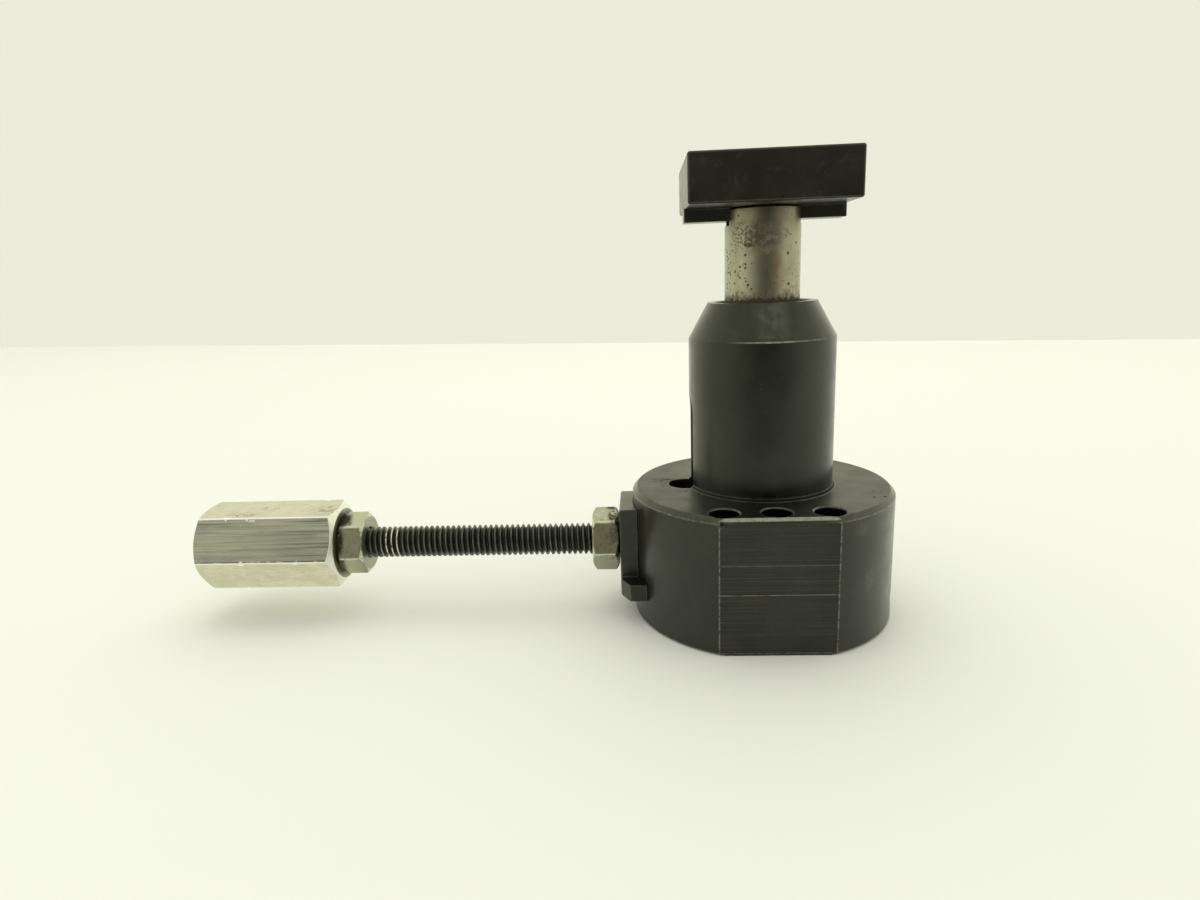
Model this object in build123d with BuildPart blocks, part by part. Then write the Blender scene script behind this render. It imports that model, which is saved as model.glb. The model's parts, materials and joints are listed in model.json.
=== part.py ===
"""Adjustable work support with a spring lifted plunger and a screw lock.

Millimetres, +Z up. The origin is on the column's axis, at the underside of
the base. The front flat faces -Y, and the lock rod leaves the base along -X.
Threads are drawn at their outer diameter, and tapped holes take the same
value plus a named clearance.
"""

import os
from math import cos, pi, radians, sin, sqrt, tan

from build123d import *

os.makedirs("parts", exist_ok=True)

# Base and column
BASE_DIA = 63.5
BASE_HEIGHT = 32.0
BASE_TOP_CHAMFER = 1.2
BASE_FOOT_CHAMFER = 0.6
FLAT_DEPTH = 2.75
FLAT_EDGE_CHAMFER = 0.6
CORNER_NICK_RADIUS = 1.1
CORNER_NICK_PLACE = (-12.7, -29.5, 30.9)
COLUMN_DIA = 34.6
CONE_HEIGHT = 8.3
COLUMN_FOOT_BEVEL = 0.7
RIM_DIA = 25.5
RIM_HEIGHT = 76.4
RIM_CHAMFER = 0.3

# Three screw holes in a row behind the front flat
FRONT_HOLE_DIA = 6.6
FRONT_HOLE_PITCH = 11.4
FRONT_HOLE_COUNT = 3
FRONT_HOLE_INSET = 4.35
FRONT_HOLE_CHAMFER = 0.3
COUNTERSINK_ANGLE = 45.0

# Plunger and what guides it
PLUNGER_DIA = 17.4
PLUNGER_HEAD_DIA = 20.6
PLUNGER_STANDOUT = 21.05
PLUNGER_TRAVEL = 6.4
PLUNGER_EDGE = 0.4
STOP_HEIGHT = 28.0
STOP_GAP = 0.1
BUSH_WALL = 2.35
WIPER_RECESS = 0.7
WIPER_HEIGHT = 4.2
WIPER_LIP = 1.3
SLIDE_CLEARANCE = 0.05
HEAD_CLEARANCE = 0.3
PRESS_CLEARANCE = 0.01

# Return spring, inside the plunger
SPRING_WIRE = 1.4
SPRING_OUTER_DIA = 9.6
SPRING_TURNS = 8
SPRING_WIRE_SIDES = 6
SPRING_STEPS_PER_TURN = 10
SPRING_CLEARANCE = 0.3
SPRING_BORE_DEPTH = 30.0
SPRING_SEAT_DEPTH = 2.0

# Plug that closes the base from below
PLUG_DIA = 25.4
PLUG_TOP = 7.6
PLUG_CHAMFER = 0.5
PLUG_SPANNER_PITCH = 17.5
PLUG_SPANNER_DIA = 3.2
PLUG_SPANNER_DEPTH = 3.0
PLUG_REST_GAP = 0.2
SEAL_WIRE = 1.36
SEAL_HEIGHT = 2.0
SEAL_CLEARANCE = 0.02

# Radial hole low on the right, with the plug's set screw
PLUG_SCREW_DIA = 4.2
PLUG_SCREW_LENGTH = 8.0
PLUG_SCREW_HEIGHT = 5.5
PLUG_SCREW_ANGLE = -18.0
SPOT_FACE_DIA = 5.6
SPOT_FACE_DEPTH = 0.6

# Lock: height of its axis, rod, shoe, thrust disc and ring
LOCK_HEIGHT = 17.9
ROD_DIA = 7.94
ROD_OPEN_LENGTH = 58.4
ROD_IN_KNOB = 18.6
ROD_TIP_CHAMFER = 0.9
THREAD_CLEARANCE = 0.05
LOCK_FLAT_DEPTH = 2.0
LOCK_GAP = 0.32
LOCK_TURN_OUT = 1.41
SHOE_DIA = 9.5
SHOE_LENGTH = 12.6
SHOE_FACE_THICKNESS = 3.4
SHOE_EDGE = 0.4
DISC_THICKNESS = 1.8
DISC_CLEARANCE = 0.1
NOSE_DIA = 5.0
NOSE_CLEARANCE = 0.25
NOSE_GAP = 0.05
RING_THICKNESS = 0.8
RING_OUTER_DIA = 6.3
RING_INNER_DIA = 4.3
RING_CLEARANCE = 0.1
RING_PLACE = 5.6

# Screw that keys the shoe, in the left hole, and the groove above it
KEY_HOLE_DIA = 8.7
KEY_HOLE_OFFSET = 1.0
KEY_GROOVE_HEIGHT = 18.0
KEY_SCREW_DIA = 6.35
KEY_SCREW_LENGTH = 4.3
KEY_DOG_DIA = 3.0
KEY_SLOT_DEPTH = 1.1
KEY_SLOT_CLEARANCE = 0.3

# Saddle under the clamp nut
SADDLE_THICKNESS = 3.35
SADDLE_WIDTH = 16.8
SADDLE_DROP = 4.1
SADDLE_FOOT_WIDTH = 27.6
SADDLE_FOOT_BOTTOM = 6.4
SADDLE_FOOT_HEIGHT = 4.2
SADDLE_BEVEL_START = 19.0
SADDLE_BEVEL_DEPTH = 2.4
SADDLE_EDGE = 0.3
SADDLE_CLEARANCE = 0.03

# Nuts and knob
NUT_ACROSS_FLATS = 14.0
NUT_THICKNESS = 6.6
NUT_FACE_DIA = 13.4
CLAMP_NUT_GAP = 0.4
CLAMP_NUT_TURN = 18.7
JAM_NUT_TURN = 17.9
KNOB_LENGTH = 36.1
KNOB_ACROSS_FLATS = 19.8
KNOB_FACE_DIA = 18.2
KNOB_TURN = 24.1
HEX_CHAMFER_ANGLE = 30.0
FLAT_TO_CORNER_ANGLE = 30.0

# Pad and its screw
PAD_WIDTH = 36.5
PAD_DEPTH = 34.9
PAD_THICKNESS = 10.6
PAD_EDGE = 0.35
TONGUE_WIDTH = 6.35
TONGUE_HEIGHT = 2.85
SLOT_DEPTH = 3.8
SLOT_CLEARANCE = 0.04
PAD_SCREW_DIA = 4.83
PAD_SCREW_HEAD_DIA = 7.9
PAD_SCREW_HEAD = 4.83
PAD_SCREW_SINK = 0.4
PAD_SCREW_REACH = 12.0
PAD_SCREW_HOLE_CLEARANCE = 0.25
TAP_DEPTH_SPARE = 2.0
SOCKET_SHARE_OF_HEAD = 0.5

# Sizes that follow
base_r = BASE_DIA / 2
column_r = COLUMN_DIA / 2
flat_distance = base_r - FLAT_DEPTH
cone_foot = RIM_HEIGHT - CONE_HEIGHT
plunger_r = PLUNGER_DIA / 2
head_r = PLUNGER_HEAD_DIA / 2
head_bore_r = head_r + HEAD_CLEARANCE
bush_r = plunger_r + SLIDE_CLEARANCE + BUSH_WALL
bush_bore_r = bush_r + PRESS_CLEARANCE
wiper_top = RIM_HEIGHT - WIPER_RECESS
bush_top = wiper_top - WIPER_HEIGHT
plug_r = PLUG_DIA / 2
plug_bore_r = plug_r + PRESS_CLEARANCE
rod_r = ROD_DIA / 2
shoe_r = SHOE_DIA / 2
shoe_bore_r = shoe_r + SLIDE_CLEARANCE
plunger_top = RIM_HEIGHT + PLUNGER_STANDOUT
slot_floor = plunger_top - SLOT_DEPTH
plunger_foot = PLUG_TOP + PLUNGER_TRAVEL + PLUG_REST_GAP
spring_bottom = PLUG_TOP - SPRING_SEAT_DEPTH
spring_top = plunger_foot + SPRING_BORE_DEPTH
lock_flat_x = head_r - LOCK_FLAT_DEPTH
shoe_face = lock_flat_x + LOCK_GAP
shoe_end = shoe_face + SHOE_LENGTH
disc_seat = shoe_face + SHOE_FACE_THICKNESS
nose_end = disc_seat + DISC_THICKNESS + NOSE_GAP
nose_shoulder = shoe_end + CLAMP_NUT_GAP
shoe_bore_end = shoe_end + LOCK_TURN_OUT + KEY_SLOT_CLEARANCE
ring_start = disc_seat + RING_PLACE
saddle_face = base_r + SADDLE_THICKNESS
saddle_top = BASE_HEIGHT - SADDLE_DROP
saddle_foot_top = SADDLE_FOOT_BOTTOM + SADDLE_FOOT_HEIGHT
clamp_nut_start = saddle_face + CLAMP_NUT_GAP
jam_nut_start = clamp_nut_start + NUT_THICKNESS + ROD_OPEN_LENGTH
knob_start = jam_nut_start + NUT_THICKNESS
rod_end = knob_start + ROD_IN_KNOB
key_hole_x = -(column_r + KEY_HOLE_OFFSET)
key_screw_foot = LOCK_HEIGHT + shoe_bore_r
key_hole_floor = key_screw_foot + KEY_SCREW_LENGTH
key_groove_top = BASE_HEIGHT + KEY_GROOVE_HEIGHT
pad_bottom = plunger_top
tongue_bottom = pad_bottom - TONGUE_HEIGHT
pad_top = pad_bottom + PAD_THICKNESS

# The arm's plane looks out along the rod, with the viewer's side as its x
arm = Plane(origin=(0, 0, LOCK_HEIGHT), x_dir=(0, -1, 0), z_dir=(-1, 0, 0))
arm_axis = Axis((0, 0, LOCK_HEIGHT), (-1, 0, 0))
# Profiles of round pieces on the arm are drawn on the upright plane through it
arm_section = Plane(origin=(0, 0, LOCK_HEIGHT), x_dir=(-1, 0, 0), z_dir=(0, 1, 0))


def hexagon_blank(start, length, across_flats, face_dia, turn, bore_depth):
    """Hexagon bar on the arm, both ends turned to a cone, tapped from its start."""
    corner_r = across_flats / sqrt(3)
    cone = (corner_r - face_dia / 2) * tan(radians(HEX_CHAMFER_ANGLE))
    with BuildPart() as blank:
        with BuildSketch(arm.offset(start)):
            RegularPolygon(
                across_flats / 2,
                6,
                major_radius=False,
                rotation=turn - FLAT_TO_CORNER_ANGLE,
            )
        extrude(amount=length)
        with BuildSketch(arm_section):
            with BuildLine():
                Polyline(
                    (start, 0),
                    (start, face_dia / 2),
                    (start + cone, corner_r),
                    (start + length - cone, corner_r),
                    (start + length, face_dia / 2),
                    (start + length, 0),
                    close=True,
                )
            make_face()
        revolve(axis=arm_axis, mode=Mode.INTERSECT)
        with BuildSketch(arm.offset(start)):
            Circle(rod_r + PRESS_CLEARANCE)
        extrude(amount=bore_depth, mode=Mode.SUBTRACT)
    return blank.part


# Body, turned from one bar, then milled and drilled
front_hole_y = -(flat_distance - FRONT_HOLE_INSET)
plug_screw_plane = Plane(
    origin=(0, 0, PLUG_SCREW_HEIGHT),
    x_dir=(0, 0, 1),
    z_dir=(cos(radians(PLUG_SCREW_ANGLE)), sin(radians(PLUG_SCREW_ANGLE)), 0),
)
with BuildPart() as body:
    with BuildSketch(Plane.XZ):
        with BuildLine():
            Polyline(
                (0, 0),
                (base_r - BASE_FOOT_CHAMFER, 0),
                (base_r, BASE_FOOT_CHAMFER),
                (base_r, BASE_HEIGHT - BASE_TOP_CHAMFER),
                (base_r - BASE_TOP_CHAMFER, BASE_HEIGHT),
                (column_r + COLUMN_FOOT_BEVEL, BASE_HEIGHT),
                (column_r, BASE_HEIGHT + COLUMN_FOOT_BEVEL),
                (column_r, cone_foot),
                (RIM_DIA / 2, RIM_HEIGHT),
                (0, RIM_HEIGHT),
                close=True,
            )
        make_face()
    revolve(axis=Axis.Z)
    # Bores for the plug, the plunger's head and the bush
    with BuildSketch(Plane.XZ):
        with BuildLine():
            Polyline(
                (0, 0),
                (plug_bore_r, 0),
                (plug_bore_r, PLUG_TOP),
                (head_bore_r, PLUG_TOP),
                (head_bore_r, STOP_HEIGHT),
                (bush_bore_r, STOP_HEIGHT),
                (bush_bore_r, RIM_HEIGHT - RIM_CHAMFER),
                (bush_bore_r + RIM_CHAMFER, RIM_HEIGHT),
                (0, RIM_HEIGHT),
                close=True,
            )
        make_face()
    revolve(axis=Axis.Z, mode=Mode.SUBTRACT)
    # Front flat, milled across the base, with its top edge broken
    with BuildSketch(Plane.XZ.offset(flat_distance)):
        with Locations((0, BASE_HEIGHT / 2)):
            Rectangle(BASE_DIA, BASE_HEIGHT)
    extrude(amount=base_r, mode=Mode.SUBTRACT)
    flat_face = body.faces().filter_by(Axis.Y).sort_by(Axis.Y)[0]
    chamfer(flat_face.edges().filter_by(Axis.X).sort_by(Axis.Z)[-1], FLAT_EDGE_CHAMFER)
    # A dent where the flat's upper left corner was struck
    with Locations(CORNER_NICK_PLACE):
        Sphere(CORNER_NICK_RADIUS, mode=Mode.SUBTRACT)
    # Row of screw holes, each lightly countersunk at both ends
    with BuildSketch(Plane.XY):
        with Locations((0, front_hole_y)):
            with GridLocations(FRONT_HOLE_PITCH, 0, FRONT_HOLE_COUNT, 1):
                Circle(FRONT_HOLE_DIA / 2)
    extrude(amount=BASE_HEIGHT, mode=Mode.SUBTRACT)
    for face_height, inward in ((BASE_HEIGHT, -1), (0, 1)):
        with BuildSketch(Plane.XY.offset(face_height)):
            with Locations((0, front_hole_y)):
                with GridLocations(FRONT_HOLE_PITCH, 0, FRONT_HOLE_COUNT, 1):
                    Circle(FRONT_HOLE_DIA / 2 + FRONT_HOLE_CHAMFER)
        extrude(
            amount=inward * FRONT_HOLE_CHAMFER,
            taper=COUNTERSINK_ANGLE,
            mode=Mode.SUBTRACT,
        )
    # Bore for the shoe, then the tapped hole for the rod
    with BuildSketch(arm.offset(lock_flat_x)):
        Circle(shoe_bore_r)
    extrude(amount=shoe_bore_end - lock_flat_x, mode=Mode.SUBTRACT)
    with BuildSketch(arm.offset(lock_flat_x)):
        Circle(rod_r + THREAD_CLEARANCE)
    extrude(amount=base_r, mode=Mode.SUBTRACT)
    # Left hole and the groove that runs up the column from it, round at its top
    with BuildSketch(Plane.XZ):
        with BuildLine():
            groove_side = Line(
                (key_hole_x, key_hole_floor),
                (key_hole_x + KEY_HOLE_DIA / 2, key_hole_floor),
            )
            groove_wall = Line(groove_side @ 1, (key_hole_x + KEY_HOLE_DIA / 2, key_groove_top))
            RadiusArc(
                groove_wall @ 1,
                (key_hole_x, key_groove_top + KEY_HOLE_DIA / 2),
                -KEY_HOLE_DIA / 2,
            )
            Line((key_hole_x, key_groove_top + KEY_HOLE_DIA / 2), groove_side @ 0)
        make_face()
    revolve(axis=Axis((key_hole_x, 0, 0), (0, 0, 1)), mode=Mode.SUBTRACT)
    with BuildSketch(Plane.XY.offset(LOCK_HEIGHT)):
        with Locations((key_hole_x, 0)):
            Circle(KEY_SCREW_DIA / 2 + PRESS_CLEARANCE)
    extrude(amount=key_hole_floor - LOCK_HEIGHT, mode=Mode.SUBTRACT)
    # Radial hole with a spot face for the plug's set screw
    with BuildSketch(plug_screw_plane.offset(plug_r - PLUG_CHAMFER)):
        Circle(PLUG_SCREW_DIA / 2 + PRESS_CLEARANCE)
    extrude(amount=base_r, mode=Mode.SUBTRACT)
    with BuildSketch(plug_screw_plane.offset(base_r - SPOT_FACE_DEPTH)):
        Circle(SPOT_FACE_DIA / 2)
    extrude(amount=base_r, mode=Mode.SUBTRACT)
body.part.label = "body"
export_step(body.part, "parts/body.step")

# Bronze bush, pressed down the column on to the step
with BuildPart() as guide_bush:
    with BuildSketch(Plane.XY.offset(STOP_HEIGHT)):
        Circle(bush_r)
        Circle(plunger_r + SLIDE_CLEARANCE, mode=Mode.SUBTRACT)
    extrude(amount=bush_top - STOP_HEIGHT)
guide_bush.part.label = "guide_bush"
export_step(guide_bush.part, "parts/guide_bush.step")

# Wiper ring above the bush, sloped down and out so that chips run off it
with BuildPart() as wiper_ring:
    with BuildSketch(Plane.XZ):
        with BuildLine():
            Polyline(
                (bush_r, bush_top),
                (bush_r, wiper_top - WIPER_LIP),
                (plunger_r + SLIDE_CLEARANCE + WIPER_LIP / 2, wiper_top),
                (plunger_r + SLIDE_CLEARANCE, wiper_top),
                (plunger_r + SLIDE_CLEARANCE, bush_top),
                close=True,
            )
        make_face()
    revolve(axis=Axis.Z)
wiper_ring.part.label = "wiper_ring"
export_step(wiper_ring.part, "parts/wiper_ring.step")

# Plunger, with a wider head below that the bush stops, and a flat for the lock
with BuildPart() as plunger:
    with BuildSketch(Plane.XZ):
        with BuildLine():
            Polyline(
                (0, plunger_foot),
                (head_r - PLUNGER_EDGE, plunger_foot),
                (head_r, plunger_foot + PLUNGER_EDGE),
                (head_r, STOP_HEIGHT - STOP_GAP),
                (plunger_r, STOP_HEIGHT - STOP_GAP),
                (plunger_r, plunger_top - PLUNGER_EDGE),
                (plunger_r - PLUNGER_EDGE, plunger_top),
                (0, plunger_top),
                close=True,
            )
        make_face()
    revolve(axis=Axis.Z)
    with BuildSketch(Plane.XY.offset(plunger_foot)):
        Circle(SPRING_OUTER_DIA / 2 + SPRING_CLEARANCE)
    extrude(amount=spring_top - plunger_foot, mode=Mode.SUBTRACT)
    with BuildSketch(arm.offset(lock_flat_x)):
        Rectangle(PLUNGER_HEAD_DIA, 2 * STOP_HEIGHT)
    extrude(amount=LOCK_FLAT_DEPTH, mode=Mode.SUBTRACT)
    with BuildSketch(Plane.XY.offset(slot_floor)):
        Rectangle(PLUNGER_DIA, TONGUE_WIDTH + 2 * SLOT_CLEARANCE)
    extrude(amount=SLOT_DEPTH, mode=Mode.SUBTRACT)
    with BuildSketch(Plane.XY.offset(slot_floor)):
        Circle(PAD_SCREW_DIA / 2 + THREAD_CLEARANCE)
    extrude(amount=-(PAD_SCREW_REACH + TAP_DEPTH_SPARE), mode=Mode.SUBTRACT)
plunger.part.label = "plunger"
export_step(plunger.part, "parts/plunger.step")

# Return spring, between the plug's recess and the top of the plunger's bore
spring_height = spring_top - spring_bottom - SPRING_WIRE
spring_r = (SPRING_OUTER_DIA - SPRING_WIRE) / 2
spring_steps = SPRING_TURNS * SPRING_STEPS_PER_TURN
spring_rise = spring_height / (2 * pi * spring_r * SPRING_TURNS)
with BuildPart() as return_spring:
    for step in range(spring_steps + 1):
        turn = 2 * pi * SPRING_TURNS * step / spring_steps
        outward = Vector(cos(turn), sin(turn), 0)
        place = outward * spring_r + Vector(
            0, 0, spring_bottom + SPRING_WIRE / 2 + spring_height * step / spring_steps
        )
        forward = Vector(-sin(turn), cos(turn), spring_rise)
        with BuildSketch(Plane(origin=place, x_dir=outward, z_dir=forward)):
            RegularPolygon(SPRING_WIRE / 2, SPRING_WIRE_SIDES)
    loft(ruled=True)
    with BuildSketch(Plane.XY.offset(spring_bottom)):
        Circle(SPRING_OUTER_DIA)
    extrude(amount=spring_height + SPRING_WIRE, mode=Mode.INTERSECT)
return_spring.part.label = "return_spring"
export_step(return_spring.part, "parts/return_spring.step")

# Plug, screwed in from below, with a recess for the spring and spanner holes
seal_r = plug_r - SEAL_WIRE / 2 - SEAL_CLEARANCE
with BuildPart() as base_plug:
    with BuildSketch(Plane.XY):
        Circle(plug_r)
    extrude(amount=PLUG_TOP)
    chamfer(base_plug.edges().group_by(Axis.Z)[0], PLUG_CHAMFER)
    with BuildSketch(Plane.XY.offset(spring_bottom)):
        Circle(SPRING_OUTER_DIA / 2 + SPRING_CLEARANCE)
    extrude(amount=SPRING_SEAT_DEPTH, mode=Mode.SUBTRACT)
    with BuildSketch(Plane.XY):
        with GridLocations(PLUG_SPANNER_PITCH, 0, 2, 1):
            Circle(PLUG_SPANNER_DIA / 2)
    extrude(amount=PLUG_SPANNER_DEPTH, mode=Mode.SUBTRACT)
    with BuildSketch(Plane.XY.offset(SEAL_HEIGHT - SEAL_WIRE / 2 - SEAL_CLEARANCE)):
        Circle(plug_r)
        Circle(seal_r - SEAL_WIRE / 2 - SEAL_CLEARANCE, mode=Mode.SUBTRACT)
    extrude(amount=SEAL_WIRE + 2 * SEAL_CLEARANCE, mode=Mode.SUBTRACT)
base_plug.part.label = "base_plug"
export_step(base_plug.part, "parts/base_plug.step")

# Square cut rubber ring in the plug's groove
with BuildPart() as plug_seal:
    with BuildSketch(Plane.XY.offset(SEAL_HEIGHT - SEAL_WIRE / 2)):
        Circle(seal_r + SEAL_WIRE / 2)
        Circle(seal_r - SEAL_WIRE / 2, mode=Mode.SUBTRACT)
    extrude(amount=SEAL_WIRE)
plug_seal.part.label = "plug_seal"
export_step(plug_seal.part, "parts/plug_seal.step")


def socket_set_screw(tip_plane, dia, length, edge):
    """Headless screw that starts at its tip, with a hexagon socket behind."""
    with BuildPart() as screw:
        with BuildSketch(tip_plane):
            Circle(dia / 2)
        extrude(amount=length)
        ends = screw.edges().filter_by(GeomType.CIRCLE)
        chamfer(ends, edge)
        with BuildSketch(tip_plane.offset(length)):
            RegularPolygon(dia * SOCKET_SHARE_OF_HEAD / 2, 6, major_radius=False)
        extrude(amount=-length * SOCKET_SHARE_OF_HEAD, mode=Mode.SUBTRACT)
    return screw.part


# Set screw on the side of the plug
with BuildPart() as plug_set_screw:
    add(
        socket_set_screw(
            plug_screw_plane.offset(plug_r + PRESS_CLEARANCE),
            PLUG_SCREW_DIA,
            PLUG_SCREW_LENGTH,
            SHOE_EDGE,
        )
    )
plug_set_screw.part.label = "plug_set_screw"
export_step(plug_set_screw.part, "parts/plug_set_screw.step")

# Bronze shoe that the rod presses on the plunger's flat
key_slot_start = -key_hole_x - KEY_DOG_DIA / 2 - LOCK_TURN_OUT - KEY_SLOT_CLEARANCE
key_slot_end = -key_hole_x + KEY_DOG_DIA / 2 + LOCK_GAP + KEY_SLOT_CLEARANCE
key_slot_width = KEY_DOG_DIA + 2 * KEY_SLOT_CLEARANCE
with BuildPart() as lock_shoe:
    with BuildSketch(arm.offset(shoe_face)):
        Circle(shoe_r)
    extrude(amount=SHOE_LENGTH)
    chamfer(lock_shoe.edges().filter_by(GeomType.CIRCLE), SHOE_EDGE)
    with BuildSketch(arm_section):
        with BuildLine():
            Polyline(
                (disc_seat, 0),
                (disc_seat, NOSE_DIA / 2 + NOSE_CLEARANCE),
                (ring_start - RING_CLEARANCE, NOSE_DIA / 2 + NOSE_CLEARANCE),
                (ring_start - RING_CLEARANCE, RING_OUTER_DIA / 2 + RING_CLEARANCE),
                (ring_start + RING_THICKNESS + RING_CLEARANCE, RING_OUTER_DIA / 2 + RING_CLEARANCE),
                (ring_start + RING_THICKNESS + RING_CLEARANCE, NOSE_DIA / 2 + NOSE_CLEARANCE),
                (shoe_end, NOSE_DIA / 2 + NOSE_CLEARANCE),
                (shoe_end, 0),
                close=True,
            )
        make_face()
    revolve(axis=arm_axis, mode=Mode.SUBTRACT)
    with BuildSketch(Plane.XY.offset(LOCK_HEIGHT + shoe_r - KEY_SLOT_DEPTH)):
        with Locations((-(key_slot_start + key_slot_end) / 2, 0)):
            SlotOverall(key_slot_end - key_slot_start, key_slot_width)
    extrude(amount=KEY_SLOT_DEPTH, mode=Mode.SUBTRACT)
lock_shoe.part.label = "lock_shoe"
export_step(lock_shoe.part, "parts/lock_shoe.step")

# Hardened disc on the floor of the shoe's bore, which takes the rod's push
with BuildPart() as thrust_disc:
    with BuildSketch(arm.offset(disc_seat)):
        Circle(NOSE_DIA / 2 + NOSE_CLEARANCE - DISC_CLEARANCE)
    extrude(amount=DISC_THICKNESS)
thrust_disc.part.label = "thrust_disc"
export_step(thrust_disc.part, "parts/thrust_disc.step")

# Snap ring, open at one side, that ties the rod's nose into the shoe
with BuildPart() as shoe_ring:
    with BuildSketch(arm.offset(ring_start)):
        Circle(RING_OUTER_DIA / 2)
        Circle(RING_INNER_DIA / 2, mode=Mode.SUBTRACT)
        with Locations((0, -RING_OUTER_DIA / 2)):
            Rectangle(RING_THICKNESS, RING_OUTER_DIA, mode=Mode.SUBTRACT)
    extrude(amount=RING_THICKNESS)
shoe_ring.part.label = "shoe_ring"
export_step(shoe_ring.part, "parts/shoe_ring.step")

# Dog point screw down the left hole, its point in the shoe's slot
key_plane = Plane.XY.offset(key_screw_foot)
with BuildPart() as shoe_key_screw:
    with Locations((key_hole_x, 0)):
        add(
            socket_set_screw(
                key_plane,
                KEY_SCREW_DIA,
                KEY_SCREW_LENGTH,
                SHOE_EDGE,
            )
        )
    with BuildSketch(key_plane):
        with Locations((key_hole_x, 0)):
            Circle(KEY_DOG_DIA / 2)
    extrude(amount=-(KEY_SLOT_DEPTH + SLIDE_CLEARANCE - KEY_SLOT_CLEARANCE / 2))
shoe_key_screw.part.label = "shoe_key_screw"
export_step(shoe_key_screw.part, "parts/shoe_key_screw.step")

# Threaded rod, with a nose that turns in the shoe
with BuildPart() as lock_rod:
    with BuildSketch(arm_section):
        with BuildLine():
            Polyline(
                (nose_end, 0),
                (nose_end, NOSE_DIA / 2),
                (ring_start - RING_CLEARANCE, NOSE_DIA / 2),
                (ring_start - RING_CLEARANCE, RING_INNER_DIA / 2 - RING_CLEARANCE),
                (ring_start + RING_THICKNESS + RING_CLEARANCE, RING_INNER_DIA / 2 - RING_CLEARANCE),
                (ring_start + RING_THICKNESS + RING_CLEARANCE, NOSE_DIA / 2),
                (nose_shoulder, NOSE_DIA / 2),
                (nose_shoulder + rod_r - NOSE_DIA / 2, rod_r),
                (rod_end - ROD_TIP_CHAMFER, rod_r),
                (rod_end, rod_r - ROD_TIP_CHAMFER),
                (rod_end, 0),
                close=True,
            )
        make_face()
    revolve(axis=arm_axis)
lock_rod.part.label = "lock_rod"
export_step(lock_rod.part, "parts/lock_rod.step")

# Saddle, hollowed to the base's radius behind, with a wider foot
saddle_seat_r = base_r + SADDLE_CLEARANCE
bevel_x = saddle_face - SADDLE_BEVEL_DEPTH
with BuildPart() as saddle:
    with BuildSketch(Plane.XY.offset(saddle_foot_top)):
        with BuildLine():
            Polyline(
                (-saddle_face, -SADDLE_WIDTH / 2),
                (0, -SADDLE_WIDTH / 2),
                (0, SADDLE_WIDTH / 2),
                (-saddle_face, SADDLE_WIDTH / 2),
                close=True,
            )
        make_face()
        Circle(saddle_seat_r, mode=Mode.SUBTRACT)
    extrude(amount=saddle_top - saddle_foot_top)
    with BuildSketch(Plane.XY.offset(SADDLE_FOOT_BOTTOM)):
        with BuildLine():
            Polyline(
                (-saddle_face, -SADDLE_BEVEL_START / 2),
                (-bevel_x, -SADDLE_FOOT_WIDTH / 2),
                (0, -SADDLE_FOOT_WIDTH / 2),
                (0, SADDLE_FOOT_WIDTH / 2),
                (-bevel_x, SADDLE_FOOT_WIDTH / 2),
                (-saddle_face, SADDLE_BEVEL_START / 2),
                close=True,
            )
        make_face()
        Circle(saddle_seat_r, mode=Mode.SUBTRACT)
    extrude(amount=saddle_foot_top - SADDLE_FOOT_BOTTOM)
    chamfer(saddle.faces().sort_by(Axis.X)[0].edges(), SADDLE_EDGE)
    with BuildSketch(arm.offset(base_r / 2)):
        Circle(rod_r + NOSE_CLEARANCE)
    extrude(amount=base_r, mode=Mode.SUBTRACT)
saddle.part.label = "saddle"
export_step(saddle.part, "parts/saddle.step")

# Two hexagon nuts and the hexagon knob
with BuildPart() as clamp_nut:
    add(
        hexagon_blank(
            clamp_nut_start,
            NUT_THICKNESS,
            NUT_ACROSS_FLATS,
            NUT_FACE_DIA,
            CLAMP_NUT_TURN,
            NUT_THICKNESS,
        )
    )
clamp_nut.part.label = "clamp_nut"
export_step(clamp_nut.part, "parts/clamp_nut.step")

with BuildPart() as jam_nut:
    add(
        hexagon_blank(
            jam_nut_start,
            NUT_THICKNESS,
            NUT_ACROSS_FLATS,
            NUT_FACE_DIA,
            JAM_NUT_TURN,
            NUT_THICKNESS,
        )
    )
jam_nut.part.label = "jam_nut"
export_step(jam_nut.part, "parts/jam_nut.step")

with BuildPart() as hex_knob:
    add(
        hexagon_blank(
            knob_start,
            KNOB_LENGTH,
            KNOB_ACROSS_FLATS,
            KNOB_FACE_DIA,
            KNOB_TURN,
            rod_end + TAP_DEPTH_SPARE - knob_start,
        )
    )
hex_knob.part.label = "hex_knob"
export_step(hex_knob.part, "parts/hex_knob.step")

# Pad, with its tongue in the plunger's slot and a counterbore for the screw
screw_seat = pad_top - PAD_SCREW_HEAD - PAD_SCREW_SINK
with BuildPart() as pad:
    with BuildSketch(Plane.XY.offset(pad_bottom)):
        Rectangle(PAD_WIDTH, PAD_DEPTH)
    extrude(amount=PAD_THICKNESS)
    chamfer(pad.edges(), PAD_EDGE)
    with BuildSketch(Plane.XY.offset(tongue_bottom)):
        Rectangle(PAD_WIDTH, TONGUE_WIDTH)
    extrude(amount=TONGUE_HEIGHT + PAD_EDGE)
    with BuildSketch(Plane.XY.offset(tongue_bottom)):
        Circle(PAD_SCREW_DIA / 2 + PAD_SCREW_HOLE_CLEARANCE)
    extrude(amount=PAD_THICKNESS, mode=Mode.SUBTRACT)
    with BuildSketch(Plane.XY.offset(screw_seat)):
        Circle(PAD_SCREW_HEAD_DIA / 2 + PAD_SCREW_HOLE_CLEARANCE)
    extrude(amount=PAD_THICKNESS, mode=Mode.SUBTRACT)
pad.part.label = "pad"
export_step(pad.part, "parts/pad.step")

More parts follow.
